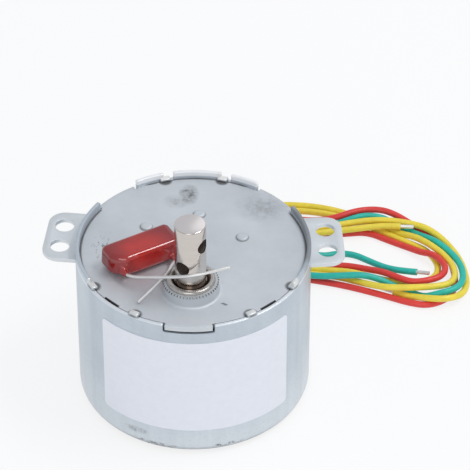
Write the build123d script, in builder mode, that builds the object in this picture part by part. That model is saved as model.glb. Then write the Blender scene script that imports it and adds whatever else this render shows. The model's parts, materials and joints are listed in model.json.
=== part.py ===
"""Synchronous gear motor: a drawn can holding a claw-pole motor and a reduction gear train.

Millimetres, +Z up. The origin is the centre of the can's underside, +X runs through the
right mounting ear and +Y points away from the output shaft. Bearings round the can are
given in degrees from the front (-Y), positive towards +X.
"""
import math
import os

from build123d import *

# Can
can_diameter = 50.0
can_wall = 0.9
can_floor = 0.9
can_edge_radius = 2.5
body_height = 36.0
rim_rise = 1.7
side_rim_arc = (60.0, 122.5)
rear_rim_arc = (147.5, 162.5)
back_rim_half_arc = 12.5
tongue_bearings = (30.0, 60.0, 165.0)
tongue_turn = 1.9
tongue_width = 2.3
tongue_reach = 0.8
tongue_corner = 0.5
tongue_height = 0.8
tongue_edge = 0.3

# Cover plate
plate_thickness = 1.2
plate_clearance = 0.05
tab_width = 10.0
notch_side_gap = 0.3
notch_drop = 0.7
tab_bearings = (0.0, 135.0, -135.0)
relief_depth = 0.5
relief_half_arc = 5.0
relief_bearings = (43.0, -43.0, 180.0)
bump_radius = 1.35
bump_height = 0.45
bump_edge = 0.25
boss_radius = 6.0
boss_height = 2.7
boss_taper = 7.0
boss_foot = 0.6

# Mounting ears
ear_thickness = 1.0
ear_width = 15.4
ear_corner = 3.5
ear_reach = 6.8
ear_tongue = 4.5
ear_hole_reach = 3.2
ear_hole_spacing = 6.74
ear_hole_diameter = 4.1
ear_setback = 5.35
ear_turn = 5.0
ear_slot_play = 0.05

# Label film
label_thickness = 0.12
label_low = 7.0
label_headroom = 4.5
label_corner = 1.0
label_arc = (-47.0, 53.5)

# Output shaft and its bearings
shaft_offset = 0.26 * can_diameter
output_diameter = 6.6
output_reach = 17.8
output_chamfer = 0.25
journal_diameter = 6.8
journal_reach = 3.0
neck_diameter = 6.0
neck_height = 1.0
gear_seat_diameter = 6.0
pivot_diameter = 3.0
running_clearance = 0.04
cross_hole_diameter = 3.2
lower_cross_hole = (8.0, -31.0)
upper_cross_hole = (13.2, 59.0)
bush_diameter = 10.34
bush_reach = 3.45
bush_edge = 0.5
bush_mouth = 0.8
lower_bush_diameter = 5.2
lower_bush_flange = 7.2
lower_bush_flange_height = 0.6
washer_thickness = 0.7
washer_diameter = 11.2
end_play = 0.1

# Gear train
fine_module = 0.008 * can_diameter
coarse_module = 0.01 * can_diameter
pressure_angle = 25.0
addendum = 0.85
dedendum = 1.1
tooth_play = 0.1
rotor_pinion_teeth = 14
first_wheel_teeth = 42
first_pinion_teeth = 10
second_wheel_teeth = 50
second_pinion_teeth = 20
third_wheel_teeth = 40
third_pinion_teeth = 20
fourth_wheel_teeth = 40
fourth_pinion_teeth = 12
output_wheel_teeth = 40
first_bearing_angle = 22.7
second_bearing_angle = 142.0
third_bearing_angle = 201.7
gear_face = 0.05 * body_height
gear_gap = 0.4
gear_foot_gap = 0.6
gear_headroom = 1.2
arbor_diameter = 1.5
arbor_clearance = 0.03
arbor_pocket = 0.6
hub_diameter = 2.5

# Motor section
pole_plate_thickness = 0.8
pole_plate_rim = 1.7
pole_count = 6
claw_radius = 0.232 * can_diameter
claw_thickness = 0.8
claw_pitch_share = 0.36
claw_gap = 0.8
bobbin_wall = 0.6
bobbin_flange = 0.6
bobbin_clearance = 0.2
winding_inset = 0.7
base_plate_thickness = 1.1
magnet_wall = 3.0
air_gap = 0.6
rotor_end_gap = 0.7
rotor_neck_clearance = 0.6
thrust_washer_diameter = 5.0
thrust_washer_height = 0.5

# Film capacitor resting on the cover plate
capacitor_length = 16.4
capacitor_width = 7.2
capacitor_thickness = 5.0
capacitor_corner = 2.2
capacitor_edge = 1.5
capacitor_place = (-10.75, 8.62)
capacitor_turn = 31.6
capacitor_lift = 0.1
capacitor_lead_diameter = 0.7
capacitor_lead_bend = 0.8
front_lead_exit = (-6.0, 1.7)
rear_lead_exit = (5.5, 1.3)

# Connection leads, with route points given across, behind the can and above its underside
lead_diameter = 1.5
grommet_width = 9.6
grommet_height = 4.0
grommet_lip = 1.0
grommet_reach = 1.6
grommet_inner_lip = 0.9
grommet_level = 6.0
bend_share = 0.45
tip_diameter = 0.9
tip_length = 3.0
red_route = [
    (1.05, 1.6, 6.0), (1.05, 5.2, 5.7), (1.2, 9.2, 3.7), (1.8, 13.4, 1.5), (3.1, 17.8, 0.8),
    (5.7, 22, 0.8), (9.6, 25.6, 0.8), (15.0, 28, 0.8), (20.8, 28.3, 0.8), (26.0, 27.2, 1.2),
    (30.6, 27.3, 2.2), (34.6, 29.2, 2.6), (38.5, 30.3, 2.5), (42.0, 30, 2.5), (45.4, 28.4, 2.0),
    (48.8, 26.2, 1.0), (52.0, 23.2, 0.8), (54.4, 19.4, 0.8), (56.3, 15.6, 0.8), (57.5, 11.5, 0.8),
    (57.8, 7.2, 0.8), (57.2, 3.4, 0.8), (55.0, 0.4, 0.8), (51.2, -1.3, 0.8), (47.0, -0.4, 0.8),
    (43.0, 1.3, 0.8), (38.5, 3, 0.8), (34.0, 4.6, 0.8), (29.0, 6, 0.8), (23.0, 7.2, 0.8),
    (16.5, 8.4, 0.8), (11.8, 12.2, 0.8), (10.6, 17.3, 0.8), (13.0, 21.8, 0.8), (18.0, 24.2, 0.8),
    (23.5, 23.8, 0.8), (28.5, 22.7, 0.8), (33.5, 23.4, 0.8), (38.0, 24, 0.8), (43.0, 21, 0.8),
    (47.7, 18.4, 0.9), (50.2, 16.2, 1.6), (52.3, 14.8, 2.5), (54.0, 13.3, 2.5), (55.4, 11.1, 2.5),
    (55.5, 8.6, 2.5), (54.1, 6.5, 2.5), (51.3, 5.3, 2.5), (48.0, 4.7, 2.5), (45.0, 6, 2.55),
    (41.5, 8.3, 2.3), (38.0, 10.5, 1.1), (34.0, 11.9, 0.8), (29.5, 12.1, 0.8), (25.5, 12, 0.8),
    (22.0, 12.8, 0.8), (19.6, 13.9, 0.8),
]
green_route = [
    (3.15, 1.6, 6.0), (3.15, 5.2, 5.7), (3.3, 9, 3.7), (3.9, 13, 1.5), (5.2, 17, 0.8),
    (7.6, 20.9, 0.8), (11.2, 24.3, 0.8), (16.0, 26.4, 0.8), (21.0, 26.5, 0.8), (26.0, 25.3, 0.9),
    (30.0, 25.5, 1.3), (33.7, 26.8, 2.2), (37.4, 28.1, 2.5), (41.3, 28, 2.1), (44.2, 27, 0.95),
    (47.0, 25.1, 0.85), (50.0, 22.6, 1.3), (53.0, 19.9, 2.4), (56.0, 16.5, 2.5), (58.5, 12.6, 2.5),
    (59.6, 8.5, 2.5), (59.2, 4.6, 2.5), (56.9, 2.2, 2.5), (53.7, 1.1, 2.3), (50.5, 1.3, 1.0),
    (47.5, 3.3, 0.8), (44.0, 4.8, 1.05), (40.5, 6, 2.2), (36.5, 6.1, 3.25), (32.0, 5.9, 3.0),
    (27.0, 6, 2.6), (22.0, 6.6, 2.7), (18.7, 8.4, 2.9), (17.6, 11.4, 2.9), (19.2, 14.4, 2.6),
    (22.8, 15.6, 2.0), (27.5, 14.9, 0.9), (31.5, 16.3, 0.8), (35.0, 15.9, 0.8), (38.5, 13.6, 0.8),
    (42.0, 11, 1.2), (45.5, 8.9, 2.2), (49.0, 7.6, 3.0),
]
outer_yellow_route = [
    (-3.15, 1.6, 6.0), (-3.15, 5.2, 5.7), (-3.0, 9.2, 3.7), (-2.4, 13.6, 1.5), (-1.2, 18.4, 0.8),
    (1.3, 23.8, 0.8), (5.5, 28.8, 0.8), (11.5, 32.2, 0.8), (18.5, 33.5, 0.8), (25.0, 33.1, 0.8),
    (30.0, 31.9, 0.8), (34.0, 30.2, 0.8), (38.0, 28.2, 0.8), (42.0, 25.8, 0.8), (45.5, 23.5, 1.0),
    (48.5, 21.1, 2.2), (50.5, 19.5, 2.45), (52.5, 17.7, 2.5), (55.3, 14.5, 2.5), (57.1, 11.2, 2.5),
    (57.8, 7.7, 2.5), (57.0, 4.9, 2.5), (54.5, 3.3, 2.7), (50.0, 2.3, 3.1), (45.2, 2, 3.1),
    (41.8, 2.5, 2.7), (38.4, 3.9, 2.25), (35.2, 6.2, 1.15), (31.8, 7.9, 0.8), (27.0, 8.6, 0.8),
    (22.0, 9.2, 0.8), (17.0, 10.3, 0.8), (13.6, 13.2, 1.0), (12.9, 17, 1.5), (14.8, 20.5, 2.0),
    (19.0, 22.4, 2.45), (24.0, 22.6, 2.45), (28.2, 23.5, 2.45), (33.0, 25, 2.45), (38.5, 26.1, 2.7),
    (43.1, 26, 2.85), (47.7, 25.4, 2.55), (51.2, 24.1, 2.55), (54.3, 21.6, 2.1), (57.0, 18.5, 1.3),
    (59.3, 14, 0.8), (60.3, 9, 0.8), (60.3, 5.2, 0.9), (58.9, 1.3, 1.8), (55.4, -0.9, 2.5),
    (52.0, -0.8, 2.5), (49.0, 0.6, 1.6), (46.4, 1.9, 0.85), (43.8, 3.1, 0.8),
]
inner_yellow_route = [
    (-1.05, 1.6, 6.0), (-1.05, 5.2, 5.7), (-0.9, 9.2, 3.7), (-0.3, 13.5, 1.5), (1.0, 18.1, 0.8),
    (3.6, 22.9, 0.8), (7.6, 27.3, 0.8), (13.0, 30.4, 0.8), (19.0, 31.4, 0.8), (25.0, 31.1, 0.8),
    (30.0, 30, 0.8), (34.2, 28.3, 0.8), (38.0, 26.3, 0.8), (43.0, 23.2, 0.8), (47.7, 20.2, 0.8),
    (51.2, 18.1, 0.8), (53.2, 15, 0.8), (54.1, 12, 0.8), (53.6, 9.2, 0.8), (51.5, 7.2, 0.8),
    (47.5, 5.9, 0.8), (43.0, 6.8, 0.8), (39.0, 8.1, 0.8), (34.0, 9.9, 0.8), (29.4, 10.2, 0.8),
    (25.3, 10.4, 0.8), (22.0, 11, 0.8), (18.0, 11.9, 0.8), (15.6, 14.2, 1.1), (15.4, 17, 1.7),
    (17.3, 19.6, 2.3), (21.0, 20.8, 2.45), (25.0, 21.1, 2.45), (28.2, 21.7, 2.45), (33.0, 22.7, 2.45),
    (38.5, 23.6, 2.7), (42.5, 23.9, 2.9), (45.5, 23.8, 2.9),
]

# Derived places
can_radius = can_diameter / 2
bore_radius = can_radius - can_wall
plate_low = body_height - plate_thickness
ear_low = plate_low - ear_thickness
shaft_radius = output_diameter / 2
journal_radius = journal_diameter / 2
arbor_radius = arbor_diameter / 2
gear_bore_radius = arbor_radius + arbor_clearance
hub_radius = hub_diameter / 2

gear_room = gear_foot_gap + 5 * (gear_face + gear_gap) + gear_headroom
motor_room = plate_low - gear_room - base_plate_thickness - can_floor
bobbin_height = motor_room / 2 - 2 * pole_plate_thickness
pole_levels = [can_floor]
pole_levels.append(pole_levels[0] + pole_plate_thickness + bobbin_height)
pole_levels.append(pole_levels[1] + pole_plate_thickness)
pole_levels.append(pole_levels[2] + pole_plate_thickness + bobbin_height)
bobbin_levels = [pole_levels[0] + pole_plate_thickness, pole_levels[2] + pole_plate_thickness]
base_plate_low = pole_levels[3] + pole_plate_thickness
base_plate_top = base_plate_low + base_plate_thickness
gear_levels = [base_plate_top + gear_foot_gap + step * (gear_face + gear_gap) for step in range(5)]


def polar(radius, angle, centre=(0.0, 0.0)):
    """Point at a radius and an angle from +X, in degrees, about a centre."""
    turn = math.radians(angle)
    return (centre[0] + radius * math.cos(turn), centre[1] + radius * math.sin(turn))


def at_bearing(radius, bearing):
    """Point at a radius from the can's axis, on a bearing from the front."""
    return polar(radius, bearing - 90)


def angle_between(start, end):
    """Angle from +X, in degrees, of the line from one point to another."""
    return math.degrees(math.atan2(end[1] - start[1], end[0] - start[0]))


def centre_distance(module, teeth, mating_teeth):
    """Distance between the axes of two meshing gears."""
    return module * (teeth + mating_teeth) / 2


def save(piece, name):
    """Label a finished piece and write it to its own file."""
    piece.part.label = name
    export_step(piece.part, f"parts/{name}.step")


def ring_sector(inner, outer, start, end):
    """Draw a ring sector between two bearings on the current sketch."""
    with BuildLine() as outline:
        CenterArc((0, 0), outer, start - 90, end - start)
        CenterArc((0, 0), inner, start - 90, end - start)
        Line(at_bearing(inner, start), at_bearing(outer, start))
        Line(at_bearing(inner, end), at_bearing(outer, end))
    make_face(outline.edges())


def gear_outline(module, teeth, tooth_angle):
    """Draw a spur gear with one tooth centred on an angle from +X."""
    pitch_radius = module * teeth / 2
    base_radius = pitch_radius * math.cos(math.radians(pressure_angle))
    tip_radius = pitch_radius + addendum * module
    root_radius = pitch_radius - dedendum * module
    flank_radius = max(base_radius, root_radius)
    thickness = math.pi * module / 2 - tooth_play / 2
    pitch = 360 / teeth

    def involute(radius):
        slope = math.acos(min(1.0, base_radius / radius))
        return math.tan(slope) - slope

    def half_angle(radius):
        lean = involute(pitch_radius) - involute(radius)
        return math.degrees(thickness / (2 * pitch_radius) + lean)

    middle_radius = (flank_radius + tip_radius) / 2
    foot = half_angle(flank_radius)
    with BuildLine() as outline:
        for tooth in range(teeth):
            centre = tooth_angle + tooth * pitch
            for side in (-1, 1):
                radii = (flank_radius, middle_radius, tip_radius)
                rise = [polar(radius, centre + side * half_angle(radius)) for radius in radii]
                ThreePointArc(*rise)
                if flank_radius > root_radius:
                    Line(polar(root_radius, centre + side * foot), rise[0])
            tip = half_angle(tip_radius)
            Line(polar(tip_radius, centre - tip), polar(tip_radius, centre + tip))
            Line(polar(root_radius, centre + foot), polar(root_radius, centre + pitch - foot))
    make_face(outline.edges())


def gear_solid(module, teeth, centre, tooth_angle, low, bore):
    """Plain spur gear of one face width with a round bore."""
    with BuildPart() as gear:
        with BuildSketch(Plane((centre[0], centre[1], low))):
            gear_outline(module, teeth, tooth_angle)
            Circle(bore, mode=Mode.SUBTRACT)
        extrude(amount=gear_face)
    return gear


def tube(outer, inner, centre, low, high):
    """Add a round tube between two heights to the part being built."""
    with BuildSketch(Plane((centre[0], centre[1], low))) as ring:
        Circle(outer)
        Circle(inner, mode=Mode.SUBTRACT)
    extrude(ring.sketch, amount=high - low)


def pinion_solid(module, teeth, centre, tooth_angle, low):
    """Pinion with a long hub that carries its wheel below the teeth."""
    with BuildPart() as pinion:
        with BuildSketch(Plane((centre[0], centre[1], low))):
            gear_outline(module, teeth, tooth_angle)
            Circle(gear_bore_radius, mode=Mode.SUBTRACT)
        extrude(amount=gear_face)
        tube(hub_radius, gear_bore_radius, centre, base_plate_top + end_play, plate_low - end_play)
    return pinion


def bend_radii(points):
    """Radius of the arc at each inner point of a route, from its shorter neighbouring run."""
    radii = []
    for before, corner, after in zip(points, points[1:], points[2:]):
        arriving = Vector(*corner) - Vector(*before)
        leaving = Vector(*after) - Vector(*corner)
        half_turn = math.radians(arriving.get_angle(leaving)) / 2
        radii.append(bend_share * min(arriving.length, leaving.length) / math.tan(half_turn))
    return radii


def self_gap(wire, diameter):
    """Least gap between stretches of one lead that lie apart along its length."""
    count = int(3 * wire.length / diameter)
    spots = [wire.position_at(step / count) for step in range(count + 1)]
    apart = int(6 * diameter * count / wire.length)
    return min(
        (spots[first] - spots[second]).length
        for first in range(count + 1)
        for second in range(first + apart, count + 1)
    ) - diameter


os.makedirs("parts", exist_ok=True)

# Axes of the gear train, each placed at its meshing distance from the one before
rotor_axis = (0.0, 0.0)
output_axis = (0.0, -shaft_offset)
first_axis = polar(
    centre_distance(fine_module, rotor_pinion_teeth, first_wheel_teeth), first_bearing_angle, rotor_axis
)
second_axis = polar(
    centre_distance(fine_module, first_pinion_teeth, second_wheel_teeth), second_bearing_angle, first_axis
)
third_axis = polar(
    centre_distance(fine_module, second_pinion_teeth, third_wheel_teeth), third_bearing_angle, second_axis
)
third_reach = centre_distance(fine_module, third_pinion_teeth, fourth_wheel_teeth)
output_distance = centre_distance(coarse_module, fourth_pinion_teeth, output_wheel_teeth)
axis_gap = math.dist(third_axis, output_axis)
along = (third_reach**2 - output_distance**2 + axis_gap**2) / (2 * axis_gap)
fourth_swing = math.degrees(math.acos(along / third_reach))
fourth_axis = polar(third_reach, angle_between(third_axis, output_axis) - fourth_swing, third_axis)
arbor_axes = {"first": first_axis, "second": second_axis, "third": third_axis, "fourth": fourth_axis}

# Can: drawn cup, raised rim segments, tab notches, ear slots and crimping tongues
with BuildPart() as can:
    inner_edge = can_edge_radius - can_wall
    with BuildSketch(Plane.XZ):
        with BuildLine():
            Line((0, 0), (can_radius - can_edge_radius, 0))
            RadiusArc((can_radius - can_edge_radius, 0), (can_radius, can_edge_radius), -can_edge_radius)
            Line((can_radius, can_edge_radius), (can_radius, body_height))
            Line((can_radius, body_height), (bore_radius, body_height))
            inner_corner = (bore_radius, can_floor + inner_edge)
            Line((bore_radius, body_height), inner_corner)
            RadiusArc(inner_corner, (bore_radius - inner_edge, can_floor), inner_edge)
            Line((bore_radius - inner_edge, can_floor), (0, can_floor))
            Line((0, can_floor), (0, 0))
        make_face()
    revolve(axis=Axis.Z)
    raised_arcs = [side_rim_arc, rear_rim_arc, (180 - back_rim_half_arc, 180 + back_rim_half_arc)]
    raised_arcs += [(-end, -start) for start, end in raised_arcs[:2]]
    for start, end in raised_arcs:
        with BuildSketch(Plane.XY.offset(body_height)):
            ring_sector(bore_radius, can_radius, start, end)
        extrude(amount=rim_rise)
    for bearing in tab_bearings:
        with BuildSketch(Plane.XY.offset(plate_low - notch_drop)):
            with Locations(Location(at_bearing(can_radius, bearing), bearing - 90)):
                Rectangle(4 * can_wall, tab_width + 2 * notch_side_gap)
        extrude(amount=notch_drop + plate_thickness + rim_rise, mode=Mode.SUBTRACT)
    for side in (1, -1):
        ear_plane = Plane(
            (side * (can_radius + ear_hole_reach), ear_setback, ear_low),
            x_dir=(math.cos(math.radians(ear_turn)), side * math.sin(math.radians(ear_turn)), 0),
        )
        with BuildSketch(ear_plane):
            with Locations((-side * ear_hole_reach, 0)):
                Rectangle(4 * ear_tongue, ear_width + 2 * ear_slot_play)
        extrude(amount=ear_thickness, mode=Mode.SUBTRACT)
    for bearing in [sign * angle + tongue_turn for angle in tongue_bearings for sign in (1, -1)]:
        with BuildPart(mode=Mode.PRIVATE) as tongue:
            with BuildSketch(Plane.XY.offset(body_height)):
                inner_end = bore_radius - tongue_reach
                outer_end = can_radius - plate_clearance
                with Locations(Location(at_bearing((inner_end + outer_end) / 2, bearing), bearing - 90)):
                    RectangleRounded(outer_end - inner_end, tongue_width, tongue_corner)
            extrude(amount=tongue_height)
            fillet(tongue.faces().sort_by(Axis.Z)[-1].edges(), tongue_edge)
        add(tongue.part)
    with BuildSketch(Plane.XY):
        Circle(arbor_radius)
    extrude(amount=can_floor, mode=Mode.SUBTRACT)
    grommet_plane = Plane((0, bore_radius - can_wall, grommet_level), x_dir=(-1, 0, 0), z_dir=(0, 1, 0))
    with BuildSketch(grommet_plane):
        SlotOverall(grommet_width, grommet_height)
    extrude(amount=4 * can_wall, mode=Mode.SUBTRACT)
save(can, "can")

# Cover plate: three tabs, drawn boss, pressed bumps over the arbor pockets
plate_radius = bore_radius - plate_clearance
with BuildPart() as cover_plate:
    with BuildSketch(Plane.XY.offset(plate_low)):
        for bearing in tab_bearings:
            with Locations(Location(at_bearing(can_radius - tab_width / 2, bearing), bearing - 90)):
                Rectangle(2 * tab_width, tab_width)
        Circle(can_radius, mode=Mode.INTERSECT)
        Circle(plate_radius)
        for bearing in relief_bearings:
            with BuildSketch(mode=Mode.SUBTRACT):
                start = bearing - relief_half_arc
                ring_sector(plate_radius - relief_depth, can_radius, start, start + 2 * relief_half_arc)
    extrude(amount=plate_thickness)
    with BuildSketch(Plane((0, -shaft_offset, body_height))):
        Circle(boss_radius)
    extrude(amount=boss_height, taper=boss_taper)
    boss_ring = cover_plate.edges().filter_by(GeomType.CIRCLE).filter_by(
        lambda edge: abs(edge.radius - boss_radius) < 0.01 and abs(edge.center().Z - body_height) < 0.01
    )
    fillet(boss_ring, boss_foot)
    with BuildSketch(Plane((0, -shaft_offset, plate_low))):
        Circle(bush_diameter / 2)
    extrude(amount=plate_thickness + boss_height, mode=Mode.SUBTRACT)
    for axis_point in arbor_axes.values():
        with BuildPart(mode=Mode.PRIVATE) as bump:
            with BuildSketch(Plane((axis_point[0], axis_point[1], body_height))):
                Circle(bump_radius)
            extrude(amount=bump_height)
            fillet(bump.edges().group_by(Axis.Z)[-1], bump_edge)
        add(bump.part)
    for axis_point in [rotor_axis, *arbor_axes.values()]:
        with BuildSketch(Plane((axis_point[0], axis_point[1], plate_low))):
            Circle(arbor_radius)
        extrude(amount=arbor_pocket, mode=Mode.SUBTRACT)
save(cover_plate, "cover_plate")

# Mounting ears, each with an inner tongue held under the cover plate
with BuildPart() as right_ear:
    right_plane = Plane(
        (can_radius + ear_hole_reach, ear_setback, ear_low),
        x_dir=(math.cos(math.radians(ear_turn)), math.sin(math.radians(ear_turn)), 0),
    )
    outer_edge = ear_reach - ear_hole_reach
    inner_edge = -ear_hole_reach - can_wall - ear_tongue
    with BuildSketch(right_plane):
        with Locations(((outer_edge + inner_edge) / 2, 0)):
            Rectangle(outer_edge - inner_edge, ear_width)
        with GridLocations(0, ear_hole_spacing, 1, 2):
            Circle(ear_hole_diameter / 2, mode=Mode.SUBTRACT)
    extrude(amount=ear_thickness)
    outer_corners = right_ear.edges().filter_by(Axis.Z).filter_by(GeomType.LINE).sort_by(Axis.X)[-2:]
    fillet(outer_corners, ear_corner)
save(right_ear, "right_ear")

with BuildPart() as left_ear:
    mirror(right_ear.part, about=Plane.YZ)
save(left_ear, "left_ear")

# Label film round the front of the can
with BuildPart() as label:
    with BuildSketch(Plane.XY.offset(label_low)):
        ring_sector(can_radius, can_radius + label_thickness, *label_arc)
    extrude(amount=body_height - label_headroom - label_low)
    fillet(label.edges().filter_by(lambda edge: edge.length < 2 * label_thickness), label_corner)
save(label, "label")

# Claw-pole stator: two coils, each between a pair of pole plates with interleaved claws
pole_radius = bore_radius - pole_plate_rim
claw_outer = claw_radius + claw_thickness
claw_reach = bobbin_height - claw_gap
pole_pitch = 360 / pole_count
pole_names = ["lower_pole_plate", "lower_middle_pole_plate", "upper_middle_pole_plate", "upper_pole_plate"]
claw_turns = [0, pole_pitch / 2, pole_pitch / 4, pole_pitch * 3 / 4]
claw_half_arc = claw_pitch_share * pole_pitch / 2
for order, name in enumerate(pole_names):
    low = pole_levels[order]
    claws_up = order % 2 == 0
    claw_low = low if claws_up else low - claw_reach
    with BuildPart() as pole_plate:
        tube(pole_radius, claw_radius, rotor_axis, low, low + pole_plate_thickness)
        for claw in range(pole_count):
            bearing = claw_turns[order] + claw * pole_pitch
            with BuildSketch(Plane.XY.offset(claw_low)):
                ring_sector(claw_radius, claw_outer, bearing - claw_half_arc, bearing + claw_half_arc)
            extrude(amount=claw_reach + pole_plate_thickness)
    save(pole_plate, name)

core_radius = claw_outer + bobbin_clearance
for low, place in zip(bobbin_levels, ("lower", "upper")):
    high = low + bobbin_height
    with BuildPart() as bobbin:
        tube(core_radius + bobbin_wall, core_radius, rotor_axis, low, high)
        tube(pole_radius, core_radius, rotor_axis, low, low + bobbin_flange)
        tube(pole_radius, core_radius, rotor_axis, high - bobbin_flange, high)
    save(bobbin, f"{place}_bobbin")
    with BuildPart() as coil:
        tube(
            pole_radius - winding_inset, core_radius + bobbin_wall, rotor_axis,
            low + bobbin_flange, high - bobbin_flange,
        )
    save(coil, f"{place}_coil")

# Base plate of the gearbox, with the rotor's neck and the arbors passing through it
rotor_neck_radius = fine_module * rotor_pinion_teeth / 2 - dedendum * fine_module
with BuildPart() as base_plate:
    with BuildSketch(Plane.XY.offset(base_plate_low)):
        Circle(plate_radius)
        Circle(rotor_neck_radius + rotor_neck_clearance, mode=Mode.SUBTRACT)
        with Locations(*arbor_axes.values()):
            Circle(arbor_radius, mode=Mode.SUBTRACT)
        with Locations(output_axis):
            Circle(lower_bush_diameter / 2, mode=Mode.SUBTRACT)
    extrude(amount=base_plate_thickness)
save(base_plate, "base_plate")

# Rotor: ring magnet on a moulded hub with its pinion, turning on a fixed arbor
arbor_top = plate_low + arbor_pocket
with BuildPart() as rotor_arbor:
    with BuildSketch(Plane.XY):
        Circle(arbor_radius)
    extrude(amount=arbor_top)
save(rotor_arbor, "rotor_arbor")

washer_top = can_floor + thrust_washer_height
rotor_low = washer_top + end_play
with BuildPart() as thrust_washer:
    tube(thrust_washer_diameter / 2, gear_bore_radius, rotor_axis, can_floor, washer_top)
save(thrust_washer, "rotor_thrust_washer")

magnet_radius = claw_radius - air_gap
magnet_bore = magnet_radius - magnet_wall
magnet_low = pole_levels[0] + pole_plate_thickness + rotor_end_gap
magnet_high = pole_levels[3] - rotor_end_gap
with BuildPart() as rotor_magnet:
    tube(magnet_radius, magnet_bore, rotor_axis, magnet_low, magnet_high)
save(rotor_magnet, "rotor_magnet")

rotor_mesh_angle = angle_between(rotor_axis, first_axis)
with BuildPart() as rotor_hub:
    tube(thrust_washer_diameter / 2, gear_bore_radius, rotor_axis, rotor_low, magnet_low)
    tube(magnet_bore, gear_bore_radius, rotor_axis, magnet_low, magnet_high)
    tube(rotor_neck_radius, gear_bore_radius, rotor_axis, magnet_high, gear_levels[0])
    with BuildSketch(Plane.XY.offset(gear_levels[0])):
        gear_outline(fine_module, rotor_pinion_teeth, rotor_mesh_angle)
        Circle(gear_bore_radius, mode=Mode.SUBTRACT)
    extrude(amount=gear_face)
save(rotor_hub, "rotor_hub")

# Four compound gears on fixed arbors: each wheel faces the pinion before it with a tooth gap,
# and each pinion points a tooth at the wheel after it
for name, axis_point in arbor_axes.items():
    with BuildPart() as arbor:
        with BuildSketch(Plane((axis_point[0], axis_point[1], base_plate_low))):
            Circle(arbor_radius)
        extrude(amount=arbor_top - base_plate_low)
    save(arbor, f"{name}_arbor")

train_axes = [rotor_axis, first_axis, second_axis, third_axis, fourth_axis, output_axis]
wheel_teeth = [first_wheel_teeth, second_wheel_teeth, third_wheel_teeth, fourth_wheel_teeth]
pinion_teeth = [first_pinion_teeth, second_pinion_teeth, third_pinion_teeth, fourth_pinion_teeth]
pinion_modules = [fine_module, fine_module, fine_module, coarse_module]
for step, name in enumerate(arbor_axes):
    axis_point = train_axes[step + 1]
    gap_angle = angle_between(axis_point, train_axes[step]) + 180 / wheel_teeth[step]
    wheel = gear_solid(fine_module, wheel_teeth[step], axis_point, gap_angle, gear_levels[step], hub_radius)
    save(wheel, f"{name}_wheel")
    tooth_angle = angle_between(axis_point, train_axes[step + 2])
    pinion = pinion_solid(
        pinion_modules[step], pinion_teeth[step], axis_point, tooth_angle, gear_levels[step + 1]
    )
    save(pinion, f"{name}_pinion")

# Output shaft, its wheel and bearings
wheel_low = gear_levels[4]
wheel_high = wheel_low + gear_face
shaft_top = body_height + output_reach
seat_radius = gear_seat_diameter / 2
pivot_radius = pivot_diameter / 2
flange_top = base_plate_top + lower_bush_flange_height
journal_top = body_height + journal_reach
neck_top = journal_top + neck_height
with BuildPart() as output_shaft:
    steps = [
        (pivot_radius, base_plate_low + end_play, flange_top + end_play),
        (seat_radius, flange_top + end_play, wheel_high),
        (journal_radius, wheel_high, journal_top),
        (neck_diameter / 2, journal_top, neck_top),
        (shaft_radius, neck_top, shaft_top),
    ]
    for radius, low, high in steps:
        with BuildSketch(Plane((0, -shaft_offset, low))):
            Circle(radius)
        extrude(amount=high - low)
    chamfer(output_shaft.faces().sort_by(Axis.Z)[-1].edges(), output_chamfer)
    for height, bearing in (lower_cross_hole, upper_cross_hole):
        across = at_bearing(1, bearing)
        with BuildSketch(Plane((0, -shaft_offset, body_height + height), z_dir=(across[0], across[1], 0))):
            Circle(cross_hole_diameter / 2)
        extrude(amount=output_diameter, both=True, mode=Mode.SUBTRACT)
save(output_shaft, "output_shaft")

output_gap_angle = angle_between(output_axis, fourth_axis) + 180 / output_wheel_teeth
output_wheel = gear_solid(
    coarse_module, output_wheel_teeth, output_axis, output_gap_angle, wheel_low, seat_radius
)
save(output_wheel, "output_wheel")

washer_low = wheel_high + end_play
with BuildPart() as output_washer:
    tube(
        washer_diameter / 2, journal_radius + running_clearance, output_axis,
        washer_low, washer_low + washer_thickness,
    )
save(output_washer, "output_thrust_washer")

bush_low = washer_low + washer_thickness + end_play
with BuildPart() as output_bush:
    bush_bore = journal_radius + running_clearance
    tube(bush_diameter / 2, bush_bore, output_axis, bush_low, body_height + bush_reach)
    mouth, rim = output_bush.faces().sort_by(Axis.Z)[-1].edges().sort_by(SortBy.RADIUS)
    chamfer(mouth, bush_mouth)
    fillet(rim, bush_edge)
save(output_bush, "output_bush")

with BuildPart() as lower_bush:
    tube(
        lower_bush_diameter / 2, pivot_radius + running_clearance, output_axis,
        base_plate_low, base_plate_top,
    )
    tube(lower_bush_flange / 2, pivot_radius + running_clearance, output_axis, base_plate_top, flange_top)
save(lower_bush, "lower_output_bush")

# Film capacitor and its two wire leads
capacitor_low = body_height + bump_height + capacitor_lift
capacitor_plane = Plane(
    (output_axis[0] + capacitor_place[0], output_axis[1] + capacitor_place[1], capacitor_low),
    x_dir=(math.cos(math.radians(capacitor_turn)), math.sin(math.radians(capacitor_turn)), 0),
)
with BuildPart() as capacitor_body:
    with BuildSketch(capacitor_plane):
        RectangleRounded(capacitor_length, capacitor_width, capacitor_corner)
    extrude(amount=capacitor_thickness)
    ends = capacitor_body.faces().filter_by(Axis.Z)
    fillet(ends.edges(), capacitor_edge)
save(capacitor_body, "capacitor_body")

plate_rest = capacitor_lead_diameter / 2 + capacitor_lift
bush_rest = bush_reach + plate_rest
shaft_foot = Vector(*output_axis, body_height)
outward = capacitor_plane.y_dir * -1


def lead_exit(place):
    """Point on the capacitor's front face, from its middle and its underside."""
    return capacitor_plane.from_local_coords(Vector(place[0], -capacitor_width / 2, place[1]))


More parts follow.
